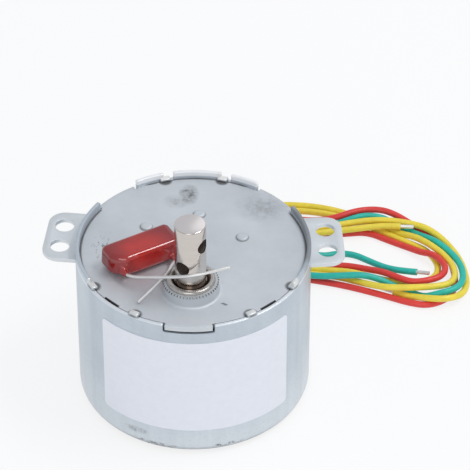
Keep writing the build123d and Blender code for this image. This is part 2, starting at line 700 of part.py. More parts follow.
front_lead = [
    lead_exit(front_lead_exit),
    lead_exit(front_lead_exit) + outward * 1.5,
    shaft_foot + Vector(-8.6, -0.6, 3.65),
    shaft_foot + Vector(-1.35, -4.75, 7.45),
    shaft_foot + Vector(3.8, -4.4, 8.45),
    shaft_foot + Vector(8.2, -2.8, 8.7),
]
rear_lead = [
    lead_exit(rear_lead_exit),
    lead_exit(rear_lead_exit) + outward * 1.5,
    shaft_foot + Vector(-4.1, 3.6, bush_rest),
    shaft_foot + Vector(-4.75, 0.1, bush_rest),
    shaft_foot + Vector(-10.8, -4.8, plate_rest),
]
with BuildPart() as capacitor_leads:
    for points in (front_lead, rear_lead):
        with BuildLine() as route:
            FilletPolyline(*points, radius=capacitor_lead_bend)
        with BuildSketch(Plane(route.line @ 0, z_dir=route.line % 0)):
            Circle(capacitor_lead_diameter / 2)
        sweep(path=route.line)
save(capacitor_leads, "capacitor_leads")

# Grommet in the rear of the can
with BuildPart() as wire_grommet:
    with BuildSketch(grommet_plane.offset(-grommet_inner_lip)):
        SlotOverall(grommet_width + 2 * grommet_lip, grommet_height + 2 * grommet_lip)
    extrude(amount=grommet_inner_lip + 2 * can_wall + grommet_reach)
    with BuildSketch(Plane.XY):
        Circle(can_radius)
        Circle(bore_radius, mode=Mode.SUBTRACT)
    extrude(amount=body_height, mode=Mode.SUBTRACT)
    with BuildSketch(grommet_plane):
        SlotOverall(grommet_width, grommet_height)
    extrude(amount=2 * can_wall + grommet_reach / 2)
save(wire_grommet, "wire_grommet")

# Connection leads lying in a loose hank behind the can, with tinned ends
leads = {
    "red_lead": red_route,
    "green_lead": green_route,
    "outer_yellow_lead": outer_yellow_route,
    "inner_yellow_lead": inner_yellow_route,
}
tip_planes = []
for name, route_points in leads.items():
    points = [(across, can_radius + behind, height) for across, behind, height in route_points]
    radii = bend_radii(points)
    with BuildPart() as lead:
        with BuildLine() as lead_line:
            FilletPolyline(*points, radius=radii)
        with BuildSketch(Plane(lead_line.line @ 0, z_dir=lead_line.line % 0)):
            Circle(lead_diameter / 2)
        sweep(path=lead_line.line)
    tip_planes.append(Plane(lead_line.line @ 1, z_dir=lead_line.line % 1))
    lead_wire = lead_line.wires()[0]
    filled = lead.part.volume / (math.pi * lead_diameter**2 / 4 * lead_wire.length)
    print(f"{name} length {lead_wire.length:.1f} filled {filled:.4f} least self-gap", end=" ")
    print(f"{self_gap(lead_wire, lead_diameter):.2f} radii", [round(radius, 1) for radius in radii])
    save(lead, name)

with BuildPart() as tinned_ends:
    for tip_plane in tip_planes:
        with BuildSketch(tip_plane):
            Circle(tip_diameter / 2)
        extrude(amount=tip_length)
save(tinned_ends, "tinned_ends")
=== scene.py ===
"""Looks of the synchronous gear motor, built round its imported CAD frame. Metres, +Z up."""

import json
import math
from contextlib import contextmanager

import bmesh
import bpy
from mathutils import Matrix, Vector


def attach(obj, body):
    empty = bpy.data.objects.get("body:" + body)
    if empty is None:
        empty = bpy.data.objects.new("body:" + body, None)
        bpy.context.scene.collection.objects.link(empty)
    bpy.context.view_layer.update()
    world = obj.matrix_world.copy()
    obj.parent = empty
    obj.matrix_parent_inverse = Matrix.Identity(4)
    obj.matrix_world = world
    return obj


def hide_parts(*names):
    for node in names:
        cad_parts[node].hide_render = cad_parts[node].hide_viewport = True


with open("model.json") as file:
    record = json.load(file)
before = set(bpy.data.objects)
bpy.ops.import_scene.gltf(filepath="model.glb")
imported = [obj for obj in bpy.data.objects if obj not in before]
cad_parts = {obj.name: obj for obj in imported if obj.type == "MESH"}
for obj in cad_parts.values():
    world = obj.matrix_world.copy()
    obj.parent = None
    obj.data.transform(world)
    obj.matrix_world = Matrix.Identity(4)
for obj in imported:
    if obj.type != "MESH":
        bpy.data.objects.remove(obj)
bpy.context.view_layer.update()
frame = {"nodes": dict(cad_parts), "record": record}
nodes = frame["nodes"]
MM = 0.001

# Axes by number, and how near in millimetres counts as being at a level
BACK = 1
UP = 2
NEAR = 0.01

# Camera, from the photo's vanishing lines and the can's known diameter
IMAGE_SIZE = 470
SENSOR_MM = 36.0
FOCAL_PIXELS = 3200.0
VIEW_AZIMUTH = 1.65
VIEW_ELEVATION = 39.876
VIEW_DISTANCE = 0.678008
VIEW_SIDE_STEP = 0.008848
VIEW_RISE = 0.003052

# Leads: the same routes as the solids, in millimetres from the can's underside
LEAD_DIAMETER = 1.5
RED_ROUTE = [
    (1.05, 26.6, 6.0), (1.05, 30.2, 5.7), (1.2, 34.2, 3.7), (1.8, 38.4, 1.5), (3.1, 42.8, 0.8),
    (5.7, 47.0, 0.8), (9.6, 50.6, 0.8), (15.0, 53.0, 0.8), (20.8, 53.3, 0.8), (26.0, 52.2, 1.2),
    (30.6, 52.3, 2.2), (34.6, 54.2, 2.6), (38.5, 55.3, 2.5), (42.0, 55.0, 2.5), (45.4, 53.4, 2.0),
    (48.8, 51.2, 1.0), (52.0, 48.2, 0.8), (54.4, 44.4, 0.8), (56.3, 40.6, 0.8), (57.5, 36.5, 0.8),
    (57.8, 32.2, 0.8), (57.2, 28.4, 0.8), (55.0, 25.4, 0.8), (51.2, 23.7, 0.8), (47.0, 24.6, 0.8),
    (43.0, 26.3, 0.8), (38.5, 28.0, 0.8), (34.0, 29.6, 0.8), (29.0, 31.0, 0.8), (23.0, 32.2, 0.8),
    (16.5, 33.4, 0.8), (11.8, 37.2, 0.8), (10.6, 42.3, 0.8), (13.0, 46.8, 0.8), (18.0, 49.2, 0.8),
    (23.5, 48.8, 0.8), (28.5, 47.7, 0.8), (33.5, 48.4, 0.8), (38.0, 49.0, 0.8), (43.0, 46.0, 0.8),
    (47.7, 43.4, 0.9), (50.2, 41.2, 1.6), (52.3, 39.8, 2.5), (54.0, 38.3, 2.5), (55.4, 36.1, 2.5),
    (55.5, 33.6, 2.5), (54.1, 31.5, 2.5), (51.3, 30.3, 2.5), (48.0, 29.7, 2.5), (45.0, 31.0, 2.55),
    (41.5, 33.3, 2.3), (38.0, 35.5, 1.1), (34.0, 36.9, 0.8), (29.5, 37.1, 0.8), (25.5, 37.0, 0.8),
    (22.0, 37.8, 0.8), (19.6, 38.9, 0.8),
]
GREEN_ROUTE = [
    (3.15, 26.6, 6.0), (3.15, 30.2, 5.7), (3.3, 34.0, 3.7), (3.9, 38.0, 1.5), (5.2, 42.0, 0.8),
    (7.6, 45.9, 0.8), (11.2, 49.3, 0.8), (16.0, 51.4, 0.8), (21.0, 51.5, 0.8), (26.0, 50.3, 0.9),
    (30.0, 50.5, 1.3), (33.7, 51.8, 2.2), (37.4, 53.1, 2.5), (41.3, 53.0, 2.1), (44.2, 52.0, 0.95),
    (47.0, 50.1, 0.85), (50.0, 47.6, 1.3), (53.0, 44.9, 2.4), (56.0, 41.5, 2.5), (58.5, 37.6, 2.5),
    (59.6, 33.5, 2.5), (59.2, 29.6, 2.5), (56.9, 27.2, 2.5), (53.7, 26.1, 2.3), (50.5, 26.3, 1.0),
    (47.5, 28.3, 0.8), (44.0, 29.8, 1.05), (40.5, 31.0, 2.2), (36.5, 31.1, 3.25), (32.0, 30.9, 3.0),
    (27.0, 31.0, 2.6), (22.0, 31.6, 2.7), (18.7, 33.4, 2.9), (17.6, 36.4, 2.9), (19.2, 39.4, 2.6),
    (22.8, 40.6, 2.0), (27.5, 39.9, 0.9), (31.5, 41.3, 0.8), (35.0, 40.9, 0.8), (38.5, 38.6, 0.8),
    (42.0, 36.0, 1.2), (45.5, 33.9, 2.2), (49.0, 32.6, 3.0),
]
OUTER_YELLOW_ROUTE = [
    (-3.15, 26.6, 6.0), (-3.15, 30.2, 5.7), (-3.0, 34.2, 3.7), (-2.4, 38.6, 1.5), (-1.2, 43.4, 0.8),
    (1.3, 48.8, 0.8), (5.5, 53.8, 0.8), (11.5, 57.2, 0.8), (18.5, 58.5, 0.8), (25.0, 58.1, 0.8),
    (30.0, 56.9, 0.8), (34.0, 55.2, 0.8), (38.0, 53.2, 0.8), (42.0, 50.8, 0.8), (45.5, 48.5, 1.0),
    (48.5, 46.1, 2.2), (50.5, 44.5, 2.45), (52.5, 42.7, 2.5), (55.3, 39.5, 2.5), (57.1, 36.2, 2.5),
    (57.8, 32.7, 2.5), (57.0, 29.9, 2.5), (54.5, 28.3, 2.7), (50.0, 27.3, 3.1), (45.2, 27.0, 3.1),
    (41.8, 27.5, 2.7), (38.4, 28.9, 2.25), (35.2, 31.2, 1.15), (31.8, 32.9, 0.8), (27.0, 33.6, 0.8),
    (22.0, 34.2, 0.8), (17.0, 35.3, 0.8), (13.6, 38.2, 1.0), (12.9, 42.0, 1.5), (14.8, 45.5, 2.0),
    (19.0, 47.4, 2.45), (24.0, 47.6, 2.45), (28.2, 48.5, 2.45), (33.0, 50.0, 2.45), (38.5, 51.1, 2.7),
    (43.1, 51.0, 2.85), (47.7, 50.4, 2.55), (51.2, 49.1, 2.55), (54.3, 46.6, 2.1), (57.0, 43.5, 1.3),
    (59.3, 39.0, 0.8), (60.3, 34.0, 0.8), (60.3, 30.2, 0.9), (58.9, 26.3, 1.8), (55.4, 24.1, 2.5),
    (52.0, 24.2, 2.5), (49.0, 25.6, 1.6), (46.4, 26.9, 0.85), (43.8, 28.1, 0.8),
]
INNER_YELLOW_ROUTE = [
    (-1.05, 26.6, 6.0), (-1.05, 30.2, 5.7), (-0.9, 34.2, 3.7), (-0.3, 38.5, 1.5), (1.0, 43.1, 0.8),
    (3.6, 47.9, 0.8), (7.6, 52.3, 0.8), (13.0, 55.4, 0.8), (19.0, 56.4, 0.8), (25.0, 56.1, 0.8),
    (30.0, 55.0, 0.8), (34.2, 53.3, 0.8), (38.0, 51.3, 0.8), (43.0, 48.2, 0.8), (47.7, 45.2, 0.8),
    (51.2, 43.1, 0.8), (53.2, 40.0, 0.8), (54.1, 37.0, 0.8), (53.6, 34.2, 0.8), (51.5, 32.2, 0.8),
    (47.5, 30.9, 0.8), (43.0, 31.8, 0.8), (39.0, 33.1, 0.8), (34.0, 34.9, 0.8), (29.4, 35.2, 0.8),
    (25.3, 35.4, 0.8), (22.0, 36.0, 0.8), (18.0, 36.9, 0.8), (15.6, 39.2, 1.1), (15.4, 42.0, 1.7),
    (17.3, 44.6, 2.3), (21.0, 45.8, 2.45), (25.0, 46.1, 2.45), (28.2, 46.7, 2.45), (33.0, 47.7, 2.45),
    (38.5, 48.6, 2.7), (42.5, 48.9, 2.9), (45.5, 48.8, 2.9),
]

# Can and its rim, in millimetres and degrees from the front
CAN_RADIUS = 25.0
CAN_WALL = 0.9
CAN_FOOT_RADIUS = 2.5
BODY_HEIGHT = 36.0
NOTCH_FLOOR = 34.1
RIM_RISE = 1.7
RIM_ROUND = 0.27
NOTCH_ARCS = [(-1, 12.5), (122.5, 147.5)]
RAISED_ARCS = [(60, 122.5), (147.5, 162.5), (167.5, 181)]
ARBOR_HOLE_RADIUS = 0.75
WIRE_SLOT_SIZE = (9.6, 6.0, 4.0)
WIRE_SLOT_HEIGHT = 6.0
WIRE_SLOT_CORNER = 1.98
CUT_THROUGH = 4.0

# Tongues of the rim, folded in over the cover
TONGUE_BEARINGS = [31.9, -28.1, 61.9, -58.1, 166.9, -163.1]
TONGUE_SIZE = (2.3, 1.55, 0.6)
TONGUE_STEP_IN = 0.8
TONGUE_FACET = 0.3
TONGUE_CROWN = 0.12
TONGUE_ROUND = 0.28

# Stamped ears
EAR_LOW = 33.8
EAR_SIZE = (12.2, 15.4, 1.0)
EAR_MIDDLE = -2.5
EAR_PLACE = (28.2, 5.35, EAR_LOW)
EAR_TURN = 5.0
EAR_CORNER = 3.5
EAR_HOLE_RADIUS = 2.05
EAR_HOLE_STEP = 3.37
EAR_SLOT_PLAY = 0.05
SHEET_ROUND = 0.13

# Output shaft
SHAFT_AXIS = (0.0, -13.0)
SHAFT_PLACE = (*SHAFT_AXIS, BODY_HEIGHT)
SHAFT_FOOT = 21.0
SHAFT_PROFILE = [
    (1.5, 22.7), (3.0, 22.7), (3.0, 33.2), (3.4, 33.2), (3.4, 39.0), (3.0, 39.0), (3.0, 40.0), (3.3, 40.0),
    (3.3, 53.55), (3.28, 53.64), (3.22, 53.73), (3.14, 53.78), (3.05, 53.8),
]
CROSS_HOLES = [(44.0, -31.0), (49.2, 59.0)]
CROSS_HOLE_RADIUS = 1.6
CROSS_DRILL_LENGTH = 12.0

# Cover plate with its drawn boss, stake marks and pressed bumps
PLATE_RADIUS = 24.05
PLATE_THICKNESS = 1.2
PLATE_EDGE = 0.1
TAB_ARCS = [(-1, 11.5), (123.5, 146.5)]
RELIEFS = [(43, 0.5), (-43, 0.5), (180, 0.22)]
RELIEF_LENGTH = 4.2
RELIEF_OVERRUN = 0.5
BOSS_SINK = 0.6
BOSS_PROFILE = [
    (6.56, 36.0), (6.34, 36.03), (6.17, 36.12), (6.05, 36.28), (5.98, 36.5), (5.72, 38.45),
    (5.68, 38.6), (5.58, 38.7),
]
STAKE_RADIUS = 5.9
STAKE_HEIGHT = 0.5
STAKE_LEVEL = 2.5
STAKE_COUNT = 50
STAKE_DEPTH = 0.32
BUSH_RADIUS = 5.17
BUSH_PLAY = 0.01
BUSH_DRILL_LENGTH = 12.0
BUMP_PLACES = [(10.33, 4.32), (0.88, 11.71), (-10.27, 7.27), (-10.03, -4.72)]
BUMP_SINK = 0.3
BUMP_PROFILE = [(1.35, 36.0), (1.27, 36.14), (1.15, 36.3), (0.98, 36.4), (0.6, 36.45)]
POCKET_DEPTH = 1.2

# Film capacitor and its two wires, whose steps count from the shaft's foot on the cover
CAPACITOR_SIZE = (16.4, 7.2, 5.0)
CAPACITOR_PLACE = (-10.75, -4.38, 36.55)
CAPACITOR_TURN = 31.6
CAPACITOR_BLUNT_CORNER = 3.2
CAPACITOR_BLUNT_PROFILE = 0.36
CAPACITOR_CORNER = 1.3
CAPACITOR_ROUND = 1.15
CAPACITOR_TOP_SHARE = (0.97, 0.94, 1)
DIP_GRAIN = 0.16
DROP_RADII = (0.95, 0.42)
DROP_LENGTH = 2.0
DROP_STEP_OUT = 0.1
CAPACITOR_WIRE = 0.7
WIRE_STUB = 1.5
FRONT_EXIT = (-6.0, 1.7)
REAR_EXIT = (5.5, 1.3)
FRONT_WIRE = [(-8.6, -0.6, 3.65), (-1.35, -4.75, 7.45), (3.8, -4.4, 8.45), (8.2, -2.8, 8.7)]
REAR_WIRE = [(-4.1, 3.6, 3.9), (-4.75, 0.1, 3.9), (-10.8, -4.8, 0.45)]

# Floor, surroundings and soft boxes: place, width, height and power
FLOOR_SIZE = 6
FLOOR_DROP = 0.05
FLOOR_LIFT = 0.8
SURROUNDINGS = (0.90, 0.94, 1.0, 1)
SURROUNDINGS_STRENGTH = 0.62
LAMP_AIM = (0, 0, 0.02)
LAMPS = [
    ("key_box", (-0.10, -0.70, 0.50), 0.45, 0.45, 1.2),
    ("strip_box", (0.40, 0.01, 0.79), 0.42, 0.18, 2.2),
    ("back_box", (0.20, 0.52, 0.50), 0.4, 0.3, 0.14),
]

# Tones of the zinc, dull and bright, of its real marks, and of the painted shade, highlights and floor
# reflection laid on it
CAN_DULL, CAN_BRIGHT = (0.52, 0.58, 0.64), (0.60, 0.66, 0.71)
PLATE_DULL, PLATE_BRIGHT = (0.60, 0.63, 0.66), (0.69, 0.72, 0.745)
LOW_WALL_REFLECTION = (0.80, 0.84, 0.87)
FOOT_SHADE = (0.22, 0.24, 0.26)
STREAK_GREY = (0.30, 0.33, 0.36)
MOTTLE_GREY = (0.34, 0.37, 0.40)
RIGHT_RIM_SHADE = (0.17, 0.175, 0.18)
RIM_INSIDE_SHADE = (0.12, 0.125, 0.13)
RIM_LIP_HIGHLIGHT = (0.86, 0.89, 0.92)
BACK_RIM_HIGHLIGHT = (0.94, 0.945, 0.95)
TONGUE_FOLD_SHADE = (0.15, 0.125, 0.095)
TONGUE_TOP_HIGHLIGHT = (0.86, 0.845, 0.81)
BORE_SHADE = (0.02, 0.02, 0.022)
SCUFF_DARK = (0.13, 0.135, 0.14)
BOSS_SHADE = (0.30, 0.31, 0.32)
MARK_AND_SHADE_DARK = (0.09, 0.09, 0.095)

# Tones of the shaft and its bush, dull and bright, of the painted shade in their holes, neck and mouth,
# and of the painted light on the shaft's end
NICKEL_DULL, NICKEL_BRIGHT = (0.57, 0.53, 0.50), (0.65, 0.60, 0.56)
BUSH_DULL, BUSH_BRIGHT = (0.44, 0.41, 0.385), (0.56, 0.53, 0.50)
HOLE_SHADE = (0.13, 0.092, 0.072)
NECK_SHADE = (0.27, 0.215, 0.18)
MOUTH_SHADE = (0.15, 0.112, 0.09)
END_FACE_LIGHT = (0.86, 0.80, 0.775)

# Squeeze of a mask that is the same at every height, and stretch of rings turned round Z
UPRIGHT = (1, 1, 0)
RINGS = (0.02, 0.02, 1.0)


def set_camera():
    """Camera at the photo's viewing angle, without shift."""
    azimuth = math.radians(VIEW_AZIMUTH)
    elevation = math.radians(VIEW_ELEVATION)
    back = Vector((
        math.sin(azimuth) * math.cos(elevation),
        -math.cos(azimuth) * math.cos(elevation),
        math.sin(elevation),
    ))
    right = Vector((math.cos(azimuth), math.sin(azimuth), 0))
    up = back.cross(right)
    cover_middle = Vector((0, 0, BODY_HEIGHT * MM))
    lens = bpy.data.cameras.new("photo_camera")
    lens.sensor_width = SENSOR_MM
    lens.lens = FOCAL_PIXELS * SENSOR_MM / IMAGE_SIZE
    lens.clip_start = 0.01
    lens.clip_end = 20
    camera = bpy.data.objects.new("photo_camera", lens)
    camera.location = cover_middle + back * VIEW_DISTANCE + right * VIEW_SIDE_STEP + up * VIEW_RISE
    camera.rotation_euler = back.to_track_quat("Z", "Y").to_euler()
    bpy.context.scene.collection.objects.link(camera)
    bpy.context.scene.camera = camera


def around(radius, bearing):
    """Place at a radius from the can's axis and a bearing from the front, positive to the right."""
    turn = math.radians(bearing)
    return radius * math.sin(turn), -radius * math.cos(turn)


def bearing_of(point):
    """Degrees round the can from the front, positive to the right."""
    return math.degrees(math.atan2(point.x, -point.y))


def within(point, arcs):
    """Whether a point's bearing, on either side, lies in one of the arcs."""
    turn = abs(bearing_of(point))
    return any(start < turn < end for start, end in arcs)


def shaded(tone, share):
    """Darker version of a tone."""
    return [channel * share for channel in tone]


class Finish:
    """A node material with one shader, and short names for the nodes that finishes share."""

    def __init__(self, name):
        self.material = bpy.data.materials.new(name)
        self.material.use_nodes = True
        self.tree = self.material.node_tree
        self.shader = self.tree.nodes["Principled BSDF"]
        self.place = self.add("ShaderNodeTexCoord").outputs["Object"]

    def add(self, kind, **settings):
        """New node with its settings."""
        node = self.tree.nodes.new(kind)
        for key, value in settings.items():
            setattr(node, key, value)
        return node

    def join(self, output, node, socket):
        """Link an output to a node's socket."""
        self.tree.links.new(output, node.inputs[socket])

    def set(self, **values):
        """Plain values on the shader's own sockets."""
        for key, value in values.items():
            self.shader.inputs[key.replace("_", " ")].default_value = value

    def stretched(self, scale):
        """Object coordinates scaled by a different amount along each axis."""
        mapping = self.add("ShaderNodeMapping")
        mapping.inputs["Scale"].default_value = scale
        self.join(self.place, mapping, "Vector")
        return mapping.outputs["Vector"]

    def noise(self, scale, detail=4.0, rough=0.55, vector=None):
        """Noise on object coordinates, or on stretched ones."""
        node = self.add("ShaderNodeTexNoise")
        node.inputs["Scale"].default_value = scale
        node.inputs["Detail"].default_value = detail
        node.inputs["Roughness"].default_value = rough
        self.join(vector or self.place, node, "Vector")
        return node.outputs["Fac"]

    def ramp(self, value, *stops):
        """Colour ramp with (position, colour) stops."""
        node = self.add("ShaderNodeValToRGB")
        elements = node.color_ramp.elements
        while len(elements) < len(stops):
            elements.new(0.5)
        for element, (position, colour) in zip(elements, stops):
            element.position = position
            element.color = (*colour, 1)
        self.join(value, node, "Fac")
        return node.outputs["Color"]

    def span(self, value, low, high, start=0.3, end=0.7):
        """Value between two limits as an input goes from start to end."""
        node = self.add("ShaderNodeMapRange")
        node.inputs["From Min"].default_value = start
        node.inputs["From Max"].default_value = end
        node.inputs["To Min"].default_value = low
        node.inputs["To Max"].default_value = high
        self.join(value, node, "Value")
        return node.outputs["Result"]

    def share(self, mask, most):
        """Mask brought down to a share of itself."""
        return self.span(mask, 0, most, 0, 1)

    def height(self):
        """Height above the can's underside, in metres."""
        node = self.add("ShaderNodeSeparateXYZ")
        self.join(self.place, node, "Vector")
        return node.outputs["Z"]

    def above(self, start, end, most=1):
        """Mask that grows from 0 between two heights, in millimetres."""
        return self.span(self.height(), 0, most, start * MM, end * MM)

    def below(self, start, end, most=1):
        """Mask that fades to 0 between two heights, in millimetres."""
        return self.span(self.height(), most, 0, start * MM, end * MM)

    def spot(self, centre, reach, soft, squeeze=(1, 1, 1)):
        """Mask that is 1 round a place, in millimetres, and fades to 0 at its reach."""
        mapping = self.add("ShaderNodeMapping")
        mapping.inputs["Location"].default_value = [-c * s * MM for c, s in zip(centre, squeeze)]
        mapping.inputs["Scale"].default_value = squeeze
        self.join(self.place, mapping, "Vector")
        length = self.add("ShaderNodeVectorMath", operation="LENGTH")
        self.join(mapping.outputs["Vector"], length, 0)
        return self.span(length.outputs["Value"], 1, 0, reach * soft * MM, reach * MM)

    def column(self, centre, reach, soft):
        """Mask round an upright line, the same at every height."""
        return self.spot((*centre, 0), reach, soft, UPRIGHT)

    def combined(self, operation, masks):
        """Masks taken together by one operation."""
        total = masks[0]
        for mask in masks[1:]:
            node = self.add("ShaderNodeMath", operation=operation)
            self.join(total, node, 0)
            self.join(mask, node, 1)
            total = node.outputs["Value"]
        return total

    def times(self, *masks):
        """Where all the masks are."""
        return self.combined("MULTIPLY", masks)

    def most(self, *masks):
        """Where any of the masks is."""
        return self.combined("MAXIMUM", masks)

    def tinted(self, base, *layers):
        """Base colour with (mask, colour) layers laid over it in turn."""
        for mask, colour in layers:
            node = self.add("ShaderNodeMix", data_type="RGBA")
            self.join(mask, node, 0)
            self.join(base, node, 6)
            node.inputs[7].default_value = (*colour, 1)
            base = node.outputs[2]
        return base

    def bump(self, height, depth, strength=1.0):
        """Relief of a depth in millimetres."""
        node = self.add("ShaderNodeBump")
        node.inputs["Distance"].default_value = depth * MM
        node.inputs["Strength"].default_value = strength
        self.join(height, node, "Height")
        self.join(node.outputs["Normal"], self.shader, "Normal")

    def colour(self, output):
        """Colour of the surface."""
        self.join(output, self.shader, "Base Color")

    def metallic(self, output):
        """Share of bare metal in the surface."""
        self.join(output, self.shader, "Metallic")

    def roughness(self, output):
        """Roughness of the surface."""
        self.join(output, self.shader, "Roughness")


def zinc_plating(name, tone, rough, grain):
    """Bright zinc plating on sheet: cool grey with faint clouding and fine grain."""
    finish = Finish(name)
    finish.set(Metallic=0.6)
    clouds = finish.noise(110, 5, 0.6)
    finish.colour(finish.ramp(clouds, (0.35, shaded(tone, 0.93)), (0.65, tone)))
    specks = finish.noise(900, 3, 0.7)
    finish.roughness(finish.span(specks, rough - 0.05, rough + 0.06))
    finish.bump(finish.noise(grain, 3, 0.6), 0.01)
    return finish.material


def can_scuffs(finish):
    """Mask of the worn foot of the can and a hatched patch above it."""
    worn = finish.span(finish.noise(900, 5, 0.7, finish.stretched((1, 1, 2.5))), 0, 1, 0.50, 0.58)
    hatched = finish.span(finish.noise(1600, 3, 0.7, finish.stretched((1, 1, 0.3))), 0.2, 0.6, 0.45, 0.6)
    left_scuff = finish.spot((-7.6, -23.5, 1.6), 7.0, 0.5, (1, 0.3, 7))
    right_scuff = finish.spot((7.8, -23.3, 2.1), 3.8, 0.5, (1, 0.3, 5))
    patch = finish.times(finish.spot((-11.4, -22.2, 4.4), 3.0, 0.4, (1, 0.4, 2.8)), hatched)
    return finish.most(finish.times(finish.most(left_scuff, right_scuff), worn), patch)


def can_zinc():
    """Passivated zinc on the drawn can: streaks up the wall and a scuffed foot, with painted highlights on
    the rim's lip, back segments and tongue tops, painted shade on the right segment, inside the raised
    rim, round the tongues, in the bore and at the foot, and a painted reflection of the floor low on the
    wall.
    """
    finish = Finish("can_zinc")
    top = BODY_HEIGHT
    streaks = finish.noise(420, 4, 0.6, finish.stretched((1, 1, 0.04)))
    mottle = finish.noise(1500, 4, 0.7)
    raised = finish.above(top + 0.5, top + 0.8)
    # Painted highlight: the raised back segments of the rim are made near white
    back = finish.times(raised, finish.column((0, 24.5), 17, 0.9))
    right = finish.times(raised, finish.column((25, 4), 13, 0.6))
    bore = finish.column((0, 0), 24.45, 0.985)
    # Painted highlight along the rounded outer edge of the rim
    lip_highlight = finish.times(finish.above(top - 0.3, top - 0.15), finish.below(top + 0.1, top + 0.3))
    tone = finish.tinted(
        finish.ramp(finish.noise(70, 5, 0.6), (0.3, CAN_DULL), (0.7, CAN_BRIGHT)),
        # Painted reflection of the pale floor: the wall grows lighter towards the bottom
        (finish.below(3, 15, 0.55), LOW_WALL_REFLECTION),
        (finish.below(1, 2.2, 0.6), FOOT_SHADE),
        (finish.span(streaks, 0, 0.09, 0.42, 0.68), STREAK_GREY),
        (finish.span(mottle, 0, 0.2, 0.5, 0.72), MOTTLE_GREY),
        # Painted shade: the raised rim segment on the right is darkened
        (finish.share(right, 0.7), RIGHT_RIM_SHADE),
        # Painted shade on the inner faces of the raised rim
        (finish.share(finish.times(raised, bore), 0.22), RIM_INSIDE_SHADE),
        (finish.share(lip_highlight, 0.8), RIM_LIP_HIGHLIGHT),
        (finish.share(back, 0.95), BACK_RIM_HIGHLIGHT),
    )
    for bearing in TONGUE_BEARINGS:
        fold = finish.column(around(24.1, bearing), 1.5, 0.6)
        # Painted shade, brownish, round the foot of each tongue where it folds over the cover
        fold_shade = finish.times(fold, finish.above(top - 0.15, top, 0.75), finish.below(top + 0.4, top + 0.6))
        # Painted highlight on each tongue's top
        top_highlight = finish.times(fold, finish.above(top + 0.5, top + 0.75, 0.85))
        tone = finish.tinted(tone, (fold_shade, TONGUE_FOLD_SHADE), (top_highlight, TONGUE_TOP_HIGHLIGHT))
    # Painted shade in the can's bore below the rim
    inside = finish.times(bore, finish.below(top - 0.3, top - 0.05))
    finish.colour(finish.tinted(tone, (inside, BORE_SHADE), (can_scuffs(finish), SCUFF_DARK)))
    # Less metallic on the back rim segments, along with their painted highlight
    finish.metallic(finish.span(back, 0.5, 0.2, 0, 1))
    finish.roughness(finish.span(streaks, 0.34, 0.44))
    finish.bump(streaks, 0.012)
    return finish.material


def plate_handling(finish):
    """Mask of smudges, pecks and a scratch on the cover plate."""
    rubbed = finish.span(finish.noise(650, 6, 0.75), 0.35, 1, 0.42, 0.60)
    back_smudge = finish.spot((-1.7, 18.3, 0), 3.2, 0.4, (1.3, 0.85, 0))
    tail_smudge = finish.share(finish.spot((-4.2, 15.9, 0), 2.6, 0.2, (0.8, 1, 0)), 0.5)
    right_smudge = finish.share(finish.spot((14.4, 14.6, 0), 5.0, 0.1, (0.75, 0.9, 0)), 0.55)
    smudges = finish.times(finish.most(back_smudge, tail_smudge, right_smudge), rubbed)
    dragged = finish.span(finish.noise(1500, 4, 0.7, finish.stretched((1, 0.35, 1))), 0, 1, 0.56, 0.62)
    pecks = finish.times(finish.spot((-19.2, 0.5, 0), 4.6, 0.3, (1.6, 0.8, 0)), dragged)
    scratch = [finish.spot((*end, 0), 0.65, 0.3, (1, 2, 0)) for end in ((6.9, -17.25), (7.4, -17.6))]
    return finish.most(smudges, pecks, *scratch)


def plate_gap_shade(finish):
    """Mask of painted shade on the cover plate: in the gap along the rim, on its sheared edge, and round
    the feet of bumps and tongues.
    """
    top = BODY_HEIGHT
    rim_foot = finish.span(finish.column((0, 0), 23.9, 0.985), 1.5, 0, 0, 1)
    beside_rim = finish.most(
        finish.spot((0, 0.3, 0), 12.5, 0.97, (0, 1, 0)),
        finish.spot((0, 24.5, 0), 3.3, 0.9, (0, 1, 0)),
    )
    sheared = finish.times(finish.column((0, 0), 24.3, 0.985), finish.below(top - 0.2, top - 0.08, 1.3))
    shade_spots = [finish.times(rim_foot, beside_rim), sheared]
    for across, back in BUMP_PLACES:
        foot = finish.column((across - 0.08, back - 0.1), 1.6, 0.8)
        shade_spots.append(finish.share(finish.times(foot, finish.below(top + 0.02, top + 0.3)), 0.75))
    shade_spots += [finish.column(around(24.0, bearing), 1.75, 0.72) for bearing in TONGUE_BEARINGS]
    return finish.most(*shade_spots)


def plate_zinc():
    """Zinc on the cover plate: satin, with handling smudges, rubbed marks and small scratches, and painted
    shade on the boss wall, along the rim, at its cut edge and round bumps and tongues.
    """
    finish = Finish("plate_zinc")
    finish.set(Metallic=0.5)
    boss_wall = finish.above(BODY_HEIGHT + 0.1, BODY_HEIGHT + 0.4, 0.22)
    marks_and_shade = finish.most(plate_handling(finish), plate_gap_shade(finish))
    finish.colour(finish.tinted(
        finish.ramp(finish.noise(90, 5, 0.6), (0.3, PLATE_DULL), (0.7, PLATE_BRIGHT)),
        (finish.times(finish.column(SHAFT_AXIS, 6.6, 0.93), boss_wall), BOSS_SHADE),
        # Dark handling marks, together with painted shade in the gaps along the rim, at the cut edge and
        # round bumps and tongues
        (finish.share(marks_and_shade, 0.82), MARK_AND_SHADE_DARK),
    ))
    finish.roughness(finish.span(finish.noise(900, 3, 0.7), 0.50, 0.60))
    finish.bump(finish.noise(700, 4, 0.65), 0.016)
    return finish.material


